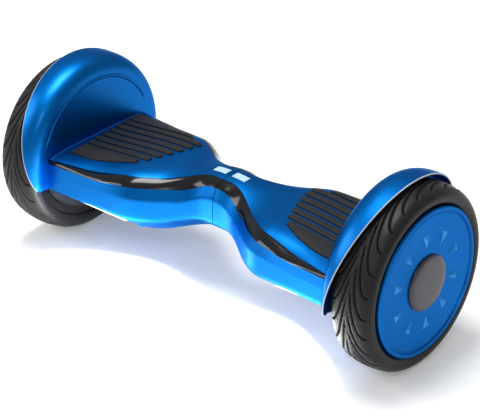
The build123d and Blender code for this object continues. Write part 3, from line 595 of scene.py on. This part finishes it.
def paint_inner_pieces():
    """Gives every piece that keeps its frame mesh its finish."""
    for node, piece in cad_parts.items():
        kind = node.removeprefix("left_").removeprefix("right_")
        material = LIT_LENS if kind == "headlight_lens" else FINISH.get(INNER_FINISHES.get(kind))
        if material is None:
            continue
        if kind in ("rim", "motor_cover"):
            material = FINISH["dark_wheel"]
        piece.data.materials.clear()
        piece.data.materials.append(material)


# ---- Body mouldings ----------------------------------------------------------------------
BODY_STEPS = 72
OUTLINE_X = np.linspace(SEAM_HALF, BODY_END, BODY_STEPS)
BELLY_FLAT = AXLE_Z - BELLY + 0.2
PLATE_TOP = AXLE_Z - 13
PLATE_LOW = PLATE_TOP - 4
SCREW_LEDGE = AXLE_Z - 50
REAR_Z = AXLE_Z - 5
DECK_LIP = (1.3, 0.9)  # how high and wide the roll along the deck's outer edge is
DECK_BOSS = (70, 32)
TUB_BOSSES = [(x, y) for x in (118, BODY_END - 21) for y in (-52, 52)]
SCREW_BORE = 2.1
HEAD_BORE = 4.1
BUTTON_HOLE = 7.3
SOCKET_RIM = 3.7  # how far the socket's flange reaches past its hole
AXLE_NOTCH = 24


def lower_section(x, inset):
    """The tub's section across at x, from edge to edge, moved in by inset."""
    right = lower_corners(float(x), inset)
    path = rounded(right + [(-y, z) for y, z in reversed(right)], TUB_RADII * 2, 6, 6)
    return [(float(x), y, max(z, BELLY_FLAT + inset)) for y, z in path]


def tub_floor(x, y):
    """Height of the tub's outside over a point in plan, on its belly or chamfer."""
    under = [(side_y, z) for _, side_y, z in lower_section(x, 0) if z < AXLE_Z - 30]
    return float(np.interp(y, *zip(*reversed(under))))


def pad_arc_outline(kind, grow):
    """Plan outline of the half moon or the crescent of the foot pad, made larger by grow."""
    if kind == "half_moon":
        inner, outer = PAD_INNER_X + 35 - grow, PAD_OUTER_X - 9 + grow
        back, front = HALF_MOON_BACK + grow, HALF_MOON_BACK - 31.5 - grow
        shoulder = (inner, back - 9 - grow)
        path = arc_through((inner + 4, back), (inner + 1, back - 1.5), (inner, back - 5), 4)
        path += [(inner, back - 5)]
        path += arc_through(shoulder, (inner + 30, front + 9), (outer - 30, front), 14)
        return path + [(outer - 30, front), (outer, front), (outer, back)]
    inner, outer = PAD_INNER_X + 24 - grow, PAD_OUTER_X + grow
    front, rear = CRESCENT_FRONT - grow, CRESCENT_REAR + grow
    path = [(inner, front), (outer, front)]
    path += arc_through((outer, rear), (inner + 62, rear - 4), (inner + 5, front + 7 + grow), 16)
    return path + [(inner + 5, front + 7 + grow)]


HALF_MOON_BACK = RIB_FIRST_Y - RIB_WIDE / 2 - 4.2
CRESCENT_FRONT = RIB_FIRST_Y + RIB_PITCH * (RIB_COUNT - 1) + RIB_WIDE / 2 + 4.6
CRESCENT_REAR = DECK_WIDTH / 2 - 17


def rib_outline(row, grow):
    """Plan outline of one rib of the foot pad, made larger by grow."""
    share = row / (RIB_COUNT - 1)
    inner = PAD_INNER_X + 24 * (1 - share) ** 1.4 - grow
    outer = PAD_OUTER_X - 7 * (1 - share) + grow
    y = RIB_FIRST_Y + RIB_PITCH * row
    radius = RIB_WIDE / 2 + grow
    turns = np.linspace(-math.pi / 2, math.pi / 2, 9)
    far = [(outer - radius + radius * math.cos(t), y + radius * math.sin(t)) for t in turns]
    near = [(inner + radius - radius * math.cos(t), y - radius * math.sin(t)) for t in turns]
    return far + near


def pad_outlines(grow):
    """Plan outlines of all the raised parts of the foot pad."""
    ribs = [rib_outline(row, grow) for row in range(RIB_COUNT)]
    return ribs + [pad_arc_outline("half_moon", grow), pad_arc_outline("crescent", grow)]


def upper_shell(side):
    """The deck moulding: a crowned skin with openings for the foot pad and the window."""
    across = np.sin(np.linspace(-math.pi / 2, math.pi / 2, 41))
    edge = BODY_END - np.array((2.4, 1.8, 1.2, 0.6, 0.0))
    lip, lip_wide = DECK_LIP
    loops = []
    for x in np.append(np.linspace(SEAM_HALF, BODY_END - 3, 84), edge):
        half = strip_top(x)[0] - DECK_EDGE_GAP
        roll = lip * math.exp(-((BODY_END - lip_wide - x) / lip_wide) ** 2)
        heights = deck_z(x, across * half) + roll
        top = [(x, half * s, z) for s, z in zip(across, heights)]
        under = [(x, (half - SHELL_WALL / 2) * s, z - SHELL_WALL) for s, z in zip(across, heights)]
        loops.append(top + under[::-1])
    shell = swept("deck", loops, side)
    low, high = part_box(f"{side}_indicator_window")
    near, far = sorted((abs(low.x) / MM, abs(high.x) / MM))
    near, far, half = near - WINDOW_GAP, far + WINDOW_GAP, high.y / MM + WINDOW_GAP
    openings = pad_outlines(SLOT_GAP) + [[(near, -half), (far, -half), (far, half), (near, half)]]
    cutters = [prism("opening", outline, AXLE_Z, AXLE_Z + 90, side) for outline in openings]
    parts = [carved(shell, [joined(cutters, "deck_cutters")])]
    x, reach = DECK_BOSS
    under = float(crown_z(x)) - SHELL_WALL
    parts += [bar("boss", (x, y, PLATE_TOP), (x, y, under), 5, side, SCREW_BORE) for y in (-reach, reach)]
    shell = smoothed(joined(parts, f"{side}_deck_moulding"))
    return finished(shell, "shell_blue", f"{side}_half", f"{side}_upper_shell")


def lamp_place():
    """Middle of the headlight bar on the chamfer, with its long, wide and outward directions."""
    ends = []
    for x in (LAMP_END_X - LAMP_LENGTH, LAMP_END_X):
        (high_y, high_z), (low_y, low_z) = lower_corners(x, 0)[2:]
        ends.append(np.array((x, -(high_y + low_y) / 2, (high_z + low_z) / 2)))
    long = (ends[1] - ends[0]) / np.linalg.norm(ends[1] - ends[0])
    out = np.array((0, -math.sin(CHAMFER), -math.cos(CHAMFER)))
    return (ends[0] + ends[1]) / 2, long, np.cross(out, long), out


def lamp_slot(side):
    """The round-ended slot that the headlight's lens sits in, as a cutter."""
    middle, long, wide, out = lamp_place()
    half, radius = LAMP_LENGTH / 2 + 0.3, LAMP_WIDE / 2 + 0.3
    flat = []
    for end in (1, -1):
        for turn in np.linspace(-math.pi / 2, math.pi / 2, 9):
            flat.append((end * (half - radius + radius * math.cos(turn)), end * radius * math.sin(turn)))
    loops = [[middle + u * long + v * wide + d * out for u, v in flat] for d in (-9, 9)]
    return swept("lamp_slot", loops, side)


def lower_shell(side):
    """The tub under the deck, with its end wall, headlight slot and screw wells."""
    outer = [point for x in OUTLINE_X for point in lower_section(x, 0)]
    inner_x = np.linspace(SEAM_HALF, BODY_END - SHELL_WALL, BODY_STEPS)
    inner = [point for x in inner_x for point in lower_section(x, SHELL_WALL)]
    columns = len(outer) // BODY_STEPS
    count = len(outer)
    skin = grid_faces(BODY_STEPS, columns)
    faces = skin + [tuple(i + count for i in reversed(face)) for face in skin]
    for row in range(BODY_STEPS - 1):
        a, b = row * columns, (row + 1) * columns
        faces.append((a, b, b + count, a + count))
        faces.append((b + columns - 1, a + columns - 1, a + columns - 1 + count, b + columns - 1 + count))
    faces += [(i + 1, i, i + count, i + 1 + count) for i in range(columns - 1)]
    last = (BODY_STEPS - 1) * columns
    faces.append(tuple(range(last, last + columns)))
    faces.append(tuple(range(last + count + columns - 1, last + count - 1, -1)))
    faces.append((last, last + count, last + count + columns - 1, last + columns - 1))
    shell = recalculated(mesh_object("tub", outer + inner, faces, side))
    cutters = [lamp_slot(side)]
    notch = [(BODY_END + reach, 0, AXLE_Z) for reach in (-9, 9)]
    cutters.append(bar("notch", *notch, AXLE_NOTCH, side, steps=64))
    cutters += [bar("well", (x, y, 40), (x, y, SCREW_LEDGE), HEAD_BORE, side) for x, y in TUB_BOSSES]
    if side == "left":
        for node in ("charging_socket", "button_switch"):
            low, high = corner(node, 0), corner(node, 1)
            x = -(low.x + high.x) / 2
            radius = (high.x - low.x) / 2 - SOCKET_RIM if node == "charging_socket" else BUTTON_HOLE
            cutters.append(bar("port", (x, 70, REAR_Z), (x, 115, REAR_Z), radius, side, steps=48))
    parts = [carved(shell, [joined(cutters, "tub_cutters")])]
    for x, y in TUB_BOSSES:
        floor = tub_floor(x, y) + SHELL_WALL / 2
        parts.append(bar("boss", (x, y, floor), (x, y, SCREW_LEDGE), 6, side, HEAD_BORE))
        parts.append(bar("boss", (x, y, SCREW_LEDGE), (x, y, PLATE_LOW), 6, side, SCREW_BORE))
    shell = smoothed(joined(parts, f"{side}_tub"))
    return finished(shell, "shell_blue", f"{side}_half", f"{side}_lower_shell")


def accent_strip(side, face):
    """A gloss strip between deck and tub, with a slightly domed face and eased edges."""
    sign = -1 if face == "front" else 1
    loops = []
    for x in OUTLINE_X:
        start, end = (np.array([float(v) for v in edge(x)]) for edge in (strip_top, strip_low))
        along = (end - start) / np.linalg.norm(end - start)
        out = np.array((-along[1], along[0]))
        start, end = start + along * PANEL_GAP, end - along * PANEL_GAP / 2
        loop = []
        for t in np.linspace(0, 1, 9):
            off = 2 * t - 1
            proud = STRIP_DOME * (1 - off ** 2) - STRIP_EDGE_EASE * off ** 8
            loop.append(start + (end - start) * t + out * proud)
        loop += [end - out * STRIP_WALL, start - out * STRIP_WALL]
        loops.append([(x, sign * y, z) for y, z in loop])
    strip = smoothed(swept(f"{side}_{face}_accent", loops, side))
    return finished(strip, "shell_black", f"{side}_half", f"{side}_{face}_strip")


def seam_seal():
    """The dark felt ring that fills the gap between the halves, round the pivot tube."""
    under = [(y, z) for _, y, z in lower_section(SEAM_HALF, SEAL_INSET)]
    edge_y = float(strip_top(SEAM_HALF)[0])
    crown = [(y, float(deck_z(SEAM_HALF, y)) - SEAL_INSET) for y in np.linspace(-edge_y, edge_y, 33)]
    outline = under + crown
    turns = [math.atan2(y, z - AXLE_Z) for y, z in outline]
    hole = [(SEAL_HOLE * math.sin(t), AXLE_Z + SEAL_HOLE * math.cos(t)) for t in turns]
    near, far = SEAL_X
    rings = [(near, outline), (far, outline), (far, hole), (near, hole)]
    seal = swept("seam_seal", [[(x, y, z) for y, z in loop] for x, loop in rings], closed=True)
    return finished(seal, "pad_rubber", "left_half")


# ---- Fender ------------------------------------------------------------------------------
FENDER_RISE = FENDER_RADIUS - TRIM_BEAD - FENDER_CREASE
BAND_REACH = 35.0
RIDGE_TURN = 1.2
RIDGE_PROUD = 1.5


def arch_share(dx):
    """How much of the fender's rise is reached dx from its flat face."""
    return (1 - (1 - np.clip(dx / BAND_REACH, 0, 1)) ** 2.5) ** 0.4


def band_point(dx, depth):
    """(x, radius) on the band, dx from the flat face and depth under its outside."""
    step = 0.2
    low, high = max(dx - step, 0.0), dx + step
    slope = np.array((high - low, FENDER_RISE * (arch_share(high) - arch_share(low))))
    slope /= np.linalg.norm(slope)
    place = np.array((FENDER_X + dx, FENDER_CREASE + FENDER_RISE * arch_share(dx)))
    return place + depth * np.array((slope[1], -slope[0]))


def lip_reach(turn):
    """How far the band reaches from the flat face at an angle from the top."""
    low, high = 0.0, 80.0
    for _ in range(40):
        dx = (low + high) / 2
        height = AXLE_Z + (FENDER_CREASE + FENDER_RISE * arch_share(dx)) * math.cos(turn)
        allowed = FENDER_LIP_X - FENDER_X - FENDER_LEAN * (FENDER_TOP - TRIM_BEAD - height)
        low, high = (dx, high) if dx < allowed else (low, dx)
    return low


BAND_TURN = math.acos(-0.92 * FENDER_DROP / FENDER_CREASE)
BAND_TURNS = np.linspace(-BAND_TURN, BAND_TURN, 121)


def fender_band(side):
    """The swept part of the arch, from the flat face's crease out to the lip."""
    shares = np.linspace(0, 1, 25) ** 1.6
    loops = []
    for turn in BAND_TURNS:
        reach = max(lip_reach(turn) - 1.2, 1.0)
        loop = [band_point(reach * s, 0.0) for s in shares]
        loop += [band_point(reach * s, FENDER_WALL * 0.98) for s in reversed(shares)]
        loops.append([at_turn(place, turn) for place in loop])
    return swept("band", loops, side)


def fender_face(side):
    """The flat inner face of the arch, round above and cut off below, with the axle's hole."""
    end = math.acos(-FENDER_DROP / FENDER_CREASE)
    count = 97
    rings = []
    for x in (FENDER_X, FENDER_X + FENDER_WALL):
        rings += [at_turn((x, FENDER_CREASE), t) for t in np.linspace(-end, end, count)]
        rings += [at_turn((x, FENDER_HOLE), t) for t in np.linspace(-math.pi, math.pi, count)]
    foot = 2 * count
    faces = []
    for i in range(count - 1):
        a, b, c, d = i, i + 1, count + i + 1, count + i
        faces += [(a, b, c, d), (foot + a, foot + d, foot + c, foot + b)]
        faces += [(b, a, foot + a, foot + b), (d, c, foot + c, foot + d)]
    faces += [(0, count, foot + count, foot), (foot - 1, count - 1, foot + count - 1, 2 * foot - 1)]
    return recalculated(mesh_object("face", rings, faces, side))


def fender_ridge(side):
    """The low ridge along the crease, fading out at both ends."""
    foot = ((0.8, -4.5), (-0.1, -4.0))
    crest = ((-0.8, -2.2), (-1.0, -0.8), (-0.6, 0.6))
    loops = []
    for turn in np.linspace(-RIDGE_TURN, RIDGE_TURN, 81):
        proud = RIDGE_PROUD * min(1.0, (RIDGE_TURN - abs(turn)) / 0.15 + 0.02)
        place = [*foot, *((dx * proud, dr) for dx, dr in crest), (0.8, 1.6)]
        loops.append([at_turn((FENDER_X + dx, FENDER_CREASE + dr), turn) for dx, dr in place])
    return swept("ridge", loops, side)


def fender(side):
    """The wheel arch: its face, band and ridge as one piece."""
    parts = [fender_band(side), fender_face(side), fender_ridge(side)]
    arch = smoothed(joined(parts, f"{side}_arch"), 40)
    return finished(arch, "shell_blue", f"{side}_half", f"{side}_fender")


def fender_trim(side):
    """The thin bead along the fender's lip, coloured pale as a painted highlight on the lip's edge."""
    loops = []
    for turn in BAND_TURNS:
        reach = lip_reach(turn)
        if reach <= 2.6:
            continue
        loop = []
        for step in range(12):
            angle = 2 * math.pi * step / 12
            along, deep = (math.copysign(abs(v) ** 0.6, v) for v in (math.cos(angle), math.sin(angle)))
            loop.append(at_turn(band_point(reach - 0.7 + 0.7 * along, 1.3 + 0.95 * deep), turn))
        loops.append(loop)
    bead = smoothed(swept(f"{side}_arch_edging", loops, side), 60)
    return finished(bead, "trim_light", f"{side}_half", f"{side}_fender_trim")


# ---- Foot pad ----------------------------------------------------------------------------
def pad_island(name, outline, base, side):
    """One raised island of the pad: eased top edge, and a top that follows the deck."""
    tall = 14.0
    island = prism(name, outline, 0, tall, "right")
    work = bmesh.new()
    work.from_mesh(island.data)
    rim = [edge for edge in work.edges if all(v.co.z > (tall - 0.01) * MM for v in edge.verts)]
    bmesh.ops.bevel(work, geom=rim, offset=1.7 * MM, segments=3, profile=0.5, affect="EDGES")
    for x in np.arange(PAD_INNER_X + 6, PAD_OUTER_X, 6.0):
        everything = work.verts[:] + work.edges[:] + work.faces[:]
        bmesh.ops.bisect_plane(work, geom=everything, plane_co=(x * MM, 0, 0), plane_no=(1, 0, 0))
    for vertex in work.verts:
        x, y, z = (value / MM for value in vertex.co)
        if z > 0.01:
            vertex.co.z = (float(deck_z(x, y)) + RIB_PROUD - tall + z) * MM
        else:
            vertex.co.z = base * MM
        if side == "left":
            vertex.co.x *= -1
    bmesh.ops.recalc_face_normals(work, faces=work.faces)
    work.to_mesh(island.data)
    work.free()
    return island


def foot_pad(side):
    """Ribs, half moon and crescent on one plate, with the two plungers below."""
    base = float(PAD_LOW.z)
    plate_top = AXLE_Z + DECK_TOP - SHELL_WALL - 4.0
    plate = [
        (PAD_INNER_X + 28, HALF_MOON_BACK - 29.5), (PAD_OUTER_X - 1, HALF_MOON_BACK - 29.5),
        (PAD_OUTER_X - 1, CRESCENT_REAR - 2), (PAD_INNER_X + 36, CRESCENT_FRONT + 10),
        (PAD_INNER_X, CRESCENT_FRONT - 7.8), (PAD_INNER_X + 8, RIB_FIRST_Y - 6),
    ]
    parts = [pad_island("island", outline, plate_top - 0.6, side) for outline in pad_outlines(0)]
    parts.append(prism("plate", plate, plate_top - 2, plate_top, side))
    board_low, board_high = corner(f"{side}_gyro_board", 0), corner(f"{side}_gyro_board", 1)
    inner, outer = sorted((abs(board_low.x), abs(board_high.x)))
    for x in (inner + 18, outer - 14):
        parts.append(bar("plunger", (x, 0, base), (x, 0, plate_top - 1), 4, side))
    pad = smoothed(joined(parts, f"{side}_tread_pad"), 50)
    return finished(pad, "pad_rubber", f"{side}_pad", f"{side}_footpad")


# ---- Wheel -------------------------------------------------------------------------------
TREAD_STEPS = 720
GROOVE_REPEATS = 26
GROOVE_DEPTH = 2.6


def smooth_line(knots, count):
    """Evenly spread points on a smooth curve through the knots."""
    knots = np.array(knots, float)
    padded = np.vstack([2 * knots[0] - knots[1], knots, 2 * knots[-1] - knots[-2]])
    out = []
    for a, b, c, d in zip(padded, padded[1:], padded[2:], padded[3:]):
        second, third = 2 * a - 5 * b + 4 * c - d, 3 * b - a - 3 * c + d
        for t in np.linspace(0, 1, 12, endpoint=False):
            out.append(0.5 * (2 * b + (c - a) * t + second * t**2 + third * t**3))
    out.append(knots[-1])
    out = np.array(out)
    length = np.concatenate([[0], np.cumsum(np.linalg.norm(np.diff(out, axis=0), axis=1))])
    even = np.linspace(0, length[-1], count)
    return np.column_stack([np.interp(even, length, out[:, 0]), np.interp(even, length, out[:, 1])])


def groove_mask(distance, half):
    """1 inside a groove and 0 outside, with sloping walls."""
    return 1 - ease(np.abs(distance), half * 0.4, half + 0.5)


def tread_depth(offset, turns):
    """Depth of the tread at an offset from the tyre's middle plane, at each turn."""
    out = abs(offset)
    pitch = 2 * math.pi * TYRE_RADIUS / GROOVE_REPEATS
    along = turns * TYRE_RADIUS + (0.5 * pitch if offset < 0 else 0.0)
    depth = np.zeros_like(turns)
    if 1.2 < out < 26.5:
        share = out / 26.5
        sweep = 78 * (1 - (1 - share) ** 2.2)
        slope = 78 * 2.2 * (1 - share) ** 1.2 / 26.5
        to_line = ((along - sweep + pitch / 2) % pitch - pitch / 2) / math.hypot(1, slope)
        half = 1.15 * float(ramp(out, 1.2, 5)) * float(1 - 0.5 * ramp(out, 22, 26.5))
        depth = np.maximum(depth, groove_mask(to_line, half) * float(ramp(out, 1.0, 3.0)))
    if 9 < out < 22.5:
        share = out / 26.5
        sweep = 66 * (1 - (1 - share) ** 1.7)
        slope = 66 * 1.7 * (1 - share) ** 0.7 / 26.5
        to_line = ((along - sweep) % pitch - pitch / 2) / math.hypot(1, slope)
        half = 0.8 * float(ramp(out, 9, 13)) * float(1 - ramp(out, 19, 22.5))
        depth = np.maximum(depth, 0.8 * groove_mask(to_line, half) * float(ramp(out, 9, 12)))
    return depth * GROOVE_DEPTH


def tyre(side):
    """The tyre as a closed ring, with swept grooves pressed into its tread."""
    flank = [
        (22, 91.5), (23.9, 97.5), (25.6, 102.3), (28.2, 104.3), (30.2, 107.4), (31, 111.5),
        (29.6, 117.6), (22.8, 123.8), (11, 126.4), (0, 127),
    ]
    lining = [(16, 91.5), (16.5, 93), (21, 100.5), (24, 110.5), (20, 117), (0, 119)]
    outer = smooth_line(flank + [(-x, r) for x, r in reversed(flank[:-1])], 104)
    inner = smooth_line([(-x, r) for x, r in lining[:-1]] + lining[::-1], 24)
    turns = np.linspace(0, 2 * math.pi, TREAD_STEPS, endpoint=False)
    slope = np.gradient(outer, axis=0)
    normals = np.column_stack([slope[:, 1], -slope[:, 0]]) / np.linalg.norm(slope, axis=1)[:, None]
    if normals[52][1] < 0:
        normals = -normals
    columns = len(outer) + len(inner)
    grid = np.zeros((TREAD_STEPS, columns, 3))
    pressed = np.zeros((TREAD_STEPS, columns))
    for column in range(columns):
        if column < len(outer):
            x, radius = outer[column]
            depth = tread_depth(x, turns) if radius > 108 else np.zeros(TREAD_STEPS)
            pressed[:, column] = depth / GROOVE_DEPTH
            bead = 0.25 * math.exp(-((radius - 112.0) / 0.6) ** 2)
            xs = x - normals[column][0] * (depth - bead)
            rs = radius - normals[column][1] * (depth - bead)
        else:
            xs, rs = (np.full(TREAD_STEPS, value) for value in inner[column - len(outer)])
        grid[:, column, 0] = TYRE_X + xs
        grid[:, column, 1] = -rs * np.sin(turns)
        grid[:, column, 2] = AXLE_Z + rs * np.cos(turns)
    faces = grid_faces(TREAD_STEPS, columns, wrap_rows=True, wrap_columns=True)
    ring = mesh_object(f"{side}_tyre_casing", grid.reshape(-1, 3), faces, side)
    # The groove depth is kept for the tyre material, which paints shade into the grooves.
    ring.data.attributes.new("groove", "FLOAT", "POINT").data.foreach_set("value", pressed.ravel())
    recalculated(ring)
    return finished(smoothed(ring, 60), "tyre", f"{side}_wheel", f"{side}_tyre")


def ring_of_darts(material):
    """A node tree: low three-sided darts set in a ring, their points towards the hub."""
    tree = bpy.data.node_groups.new("ring_of_darts", "GeometryNodeTree")
    tree.interface.new_socket("Geometry", in_out="INPUT", socket_type="NodeSocketGeometry")
    sizes = {"Radius": 0.066, "Length": 0.02, "Width": 0.01, "Height": 0.0016, "Face X": 0.3226,
             "Axle Z": 0.127, "Start Angle": 0.0}
    tree.interface.new_socket("Count", in_out="INPUT", socket_type="NodeSocketInt").default_value = 10
    for label, value in sizes.items():
        tree.interface.new_socket(label, in_out="INPUT", socket_type="NodeSocketFloat").default_value = value
    tree.interface.new_socket("Geometry", in_out="OUTPUT", socket_type="NodeSocketGeometry")
    given, result = tree.nodes.new("NodeGroupInput"), tree.nodes.new("NodeGroupOutput")

    def calc(operation, *values):
        return math_node(tree, operation, *values)

    def vector(*values):
        node = tree.nodes.new("ShaderNodeCombineXYZ")
        for socket, value in zip(node.inputs, values):
            if isinstance(value, (int, float)):
                socket.default_value = value
            else:
                linked(tree, value, socket)
        return node.outputs[0]

    circle = tree.nodes.new("GeometryNodeMeshCircle")
    linked(tree, given.outputs["Count"], circle.inputs["Vertices"])
    linked(tree, given.outputs["Radius"], circle.inputs["Radius"])
    dart = tree.nodes.new("GeometryNodeMeshCone")
    dart.inputs["Vertices"].default_value = 3
    dart.inputs["Radius Top"].default_value = 0.0
    dart.inputs["Radius Bottom"].default_value = 1.0
    dart.inputs["Depth"].default_value = 1.0
    shaped = tree.nodes.new("GeometryNodeTransform")
    linked(tree, dart.outputs["Mesh"], shaped.inputs["Geometry"])
    long = calc("MULTIPLY", given.outputs["Length"], -1 / 1.5)
    wide = calc("MULTIPLY", given.outputs["Width"], -1 / math.sqrt(3))
    linked(tree, vector(long, wide, given.outputs["Height"]), shaped.inputs["Scale"])
    index = tree.nodes.new("GeometryNodeInputIndex")
    turn = calc("DIVIDE", calc("MULTIPLY", index.outputs[0], 2 * math.pi), given.outputs["Count"])
    copies = tree.nodes.new("GeometryNodeInstanceOnPoints")
    linked(tree, circle.outputs["Mesh"], copies.inputs["Points"])
    linked(tree, shaped.outputs["Geometry"], copies.inputs["Instance"])
    linked(tree, vector(0.0, 0.0, turn), copies.inputs["Rotation"])
    real = tree.nodes.new("GeometryNodeRealizeInstances")
    spun = tree.nodes.new("GeometryNodeTransform")
    linked(tree, vector(0.0, 0.0, given.outputs["Start Angle"]), spun.inputs["Rotation"])
    placed = tree.nodes.new("GeometryNodeTransform")
    placed.inputs["Rotation"].default_value = (0.0, math.pi / 2, 0.0)
    linked(tree, vector(given.outputs["Face X"], 0.0, given.outputs["Axle Z"]), placed.inputs["Translation"])
    painted = tree.nodes.new("GeometryNodeSetMaterial")
    painted.inputs["Material"].default_value = material
    linked(tree, copies.outputs["Instances"], spun.inputs["Geometry"])
    linked(tree, spun.outputs["Geometry"], placed.inputs["Geometry"])
    linked(tree, placed.outputs["Geometry"], real.inputs["Geometry"])
    linked(tree, real.outputs["Geometry"], painted.inputs["Geometry"])
    linked(tree, painted.outputs["Geometry"], result.inputs["Geometry"])
    return tree


def grown(name, tree, side, **sizes):
    """Runs a node tree with its inputs set by name, and keeps the plain mesh."""
    piece = mesh_object(name, [(0, 0, 0)], [], "right")
    modifier = piece.modifiers.new("grown", "NODES")
    modifier.node_group = tree
    for item in tree.interface.items_tree:
        label = item.name.lower().replace(" ", "_")
        if item.in_out == "INPUT" and label in sizes:
            modifier[item.identifier] = sizes[label]
    baked(piece)
    if side == "left":
        piece.data.transform(Matrix.Scale(-1, 4, (1, 0, 0)))
        piece.data.flip_normals()
    return piece


def wheel_cover(side, darts):
    """The blue disc: a bright bevelled ring, a dished face and ten darts in a paler blue, which is a painted
    highlight on their facets.
    """
    face, edge = COVER_FACE, COVER_RADIUS
    profile = [
        (COVER_BACK, 0), (COVER_BACK, edge - 1), (COVER_BACK + 0.3, edge - 0.3), (COVER_BACK + 1, edge),
        (face - 1.6, edge), (face - 0.7, edge - 0.5), (face - 0.2, edge - 1.3), (face, edge - 2.4),
        (face - 0.1, edge - 4.2), (face - 0.6, edge - 5.4), (face - 1.9, edge - 6.0),
        (face - 2.1, edge - 6.6), (face - 1.9, edge - 7.2), (face - 1.4, edge - 8.0),
        (face - 1.6, edge - 12), (face - 2.4, edge - 22), (face - 3.1, edge - 34),
        (face - 3.3, edge - 42), (face - 3.1, edge - 54), (face - 2.6, CAP_RADIUS + 3), (face - 2.6, 0),
    ]
    disc = smoothed(revolved(f"{side}_wheel_disc", profile, side, 192), 40)
    ring = grown(
        f"{side}_disc_darts", darts, side, count=10, radius=0.063, length=0.019, width=0.013, height=0.003,
        face_x=(face - 3.1) * MM, axle_z=AXLE_Z * MM, start_angle=math.radians(3))
    finished(ring, "shell_blue", f"{side}_wheel", f"{side}_wheel_cover")
    return finished(disc, "shell_blue", f"{side}_wheel", f"{side}_wheel_cover")


def hub_cap(side):
    """The dark cap in the middle of the cover."""
    face, edge = COVER_FACE, CAP_RADIUS
    profile = [
        (face - 2.5, 0), (face - 2.5, edge), (face - 0.6, edge), (face + 0.3, edge - 0.5),
        (face + 1.1, edge - 1.5), (face + 1.8, edge - 3.2), (face + 2.3, edge - 5.6),
        (face + 2.8, edge - 12), (face + 3.0, edge - 20), (face + 3.0, 0),
    ]
    cap = smoothed(revolved(f"{side}_centre_cap", profile, side, 128), 50)
    return finished(cap, "cap_grey", f"{side}_wheel", f"{side}_hub_cap")


# ---- Assembly ----------------------------------------------------------------------------
paint_inner_pieces()
seam_seal()
# The darts' paler blue is a painted highlight.
DARTS = ring_of_darts(FINISH["painted_lit_dart_blue"])
for side in SIDES:
    upper_shell(side)
    lower_shell(side)
    for face in ("front", "rear"):
        accent_strip(side, face)
    fender(side)
    fender_trim(side)
    foot_pad(side)
    tyre(side)
    wheel_cover(side, DARTS)
    hub_cap(side)


# ---- Stage, lights and camera ------------------------------------------------------------
def pale_floor():
    """The white floor under the object, faintly lit from within."""
    points = [(-6000, -6000, 0), (6000, -6000, 0), (6000, 6000, 0), (-6000, 6000, 0)]
    floor = mesh_object("floor", points, [(0, 1, 2, 3)])
    material = bpy.data.materials.new("pale_floor")
    material.use_nodes = True
    surface = material.node_tree.nodes["Principled BSDF"]
    surface.inputs["Base Color"].default_value = (0.9, 0.9, 0.9, 1.0)
    surface.inputs["Roughness"].default_value = 0.6
    surface.inputs["Emission Color"].default_value = (1.0, 1.0, 1.0, 1.0)
    surface.inputs["Emission Strength"].default_value = 0.2
    floor.data.materials.append(material)


def area_light(name, place, target, size, power, colour=(1, 1, 1), spread=180):
    """A rectangular lamp at a place, aimed at a target."""
    light = bpy.data.lights.new(name, "AREA")
    light.spread = math.radians(spread)
    light.shape = "RECTANGLE"
    light.size, light.size_y = size
    light.energy = power
    light.color = colour
    lamp = bpy.data.objects.new(name, light)
    bpy.context.scene.collection.objects.link(lamp)
    lamp.location = place
    lamp.rotation_euler = (Vector(target) - Vector(place)).to_track_quat("-Z", "Y").to_euler()
    return lamp


def studio():
    """The soft surroundings, three softboxes and a glow in front of each headlight."""
    bpy.context.scene.view_settings.view_transform = "Standard"
    world = bpy.data.worlds.new("studio")
    bpy.context.scene.world = world
    world.use_nodes = True
    world.node_tree.nodes["Background"].inputs["Color"].default_value = (0.96, 0.98, 1.0, 1.0)
    world.node_tree.nodes["Background"].inputs["Strength"].default_value = 0.45
    area_light("overhead_softbox", (-0.4, -0.1, 3.0), (0, 0, 0.1), (1.7, 1.1), 80)
    area_light("left_softbox", (-1.9, -1.6, 1.5), (0, 0, 0.15), (1.2, 1.4), 30)
    area_light("right_fill", (1.4, -2.3, 2.3), (0.3, 0, 0.13), (0.5, 0.5), 12)
    middle, long, _, out = lamp_place()
    for side in SIDES:
        place = side_points(middle - long * 18 + out * 14, side)[0]
        target = side_points(middle - long * 30 + out * 60, side)[0]
        area_light(f"{side}_headlight_glow", place, target, (0.06, 0.012), 1.6, (0.95, 0.98, 1.0), 130)


def camera():
    """The camera, above and in front of the right wheel."""
    data = bpy.data.cameras.new("camera")
    data.lens, data.sensor_width = 152.7, 36.0
    data.shift_x, data.shift_y = -0.0188, -0.003
    view = bpy.data.objects.new("camera", data)
    bpy.context.scene.collection.objects.link(view)
    view.location = (1.574, -1.833, 1.453)
    view.rotation_euler = (Vector((0.0303, 0, 0.1294)) - view.location).to_track_quat("-Z", "Y").to_euler()
    bpy.context.scene.camera = view


pale_floor()
studio()
camera()
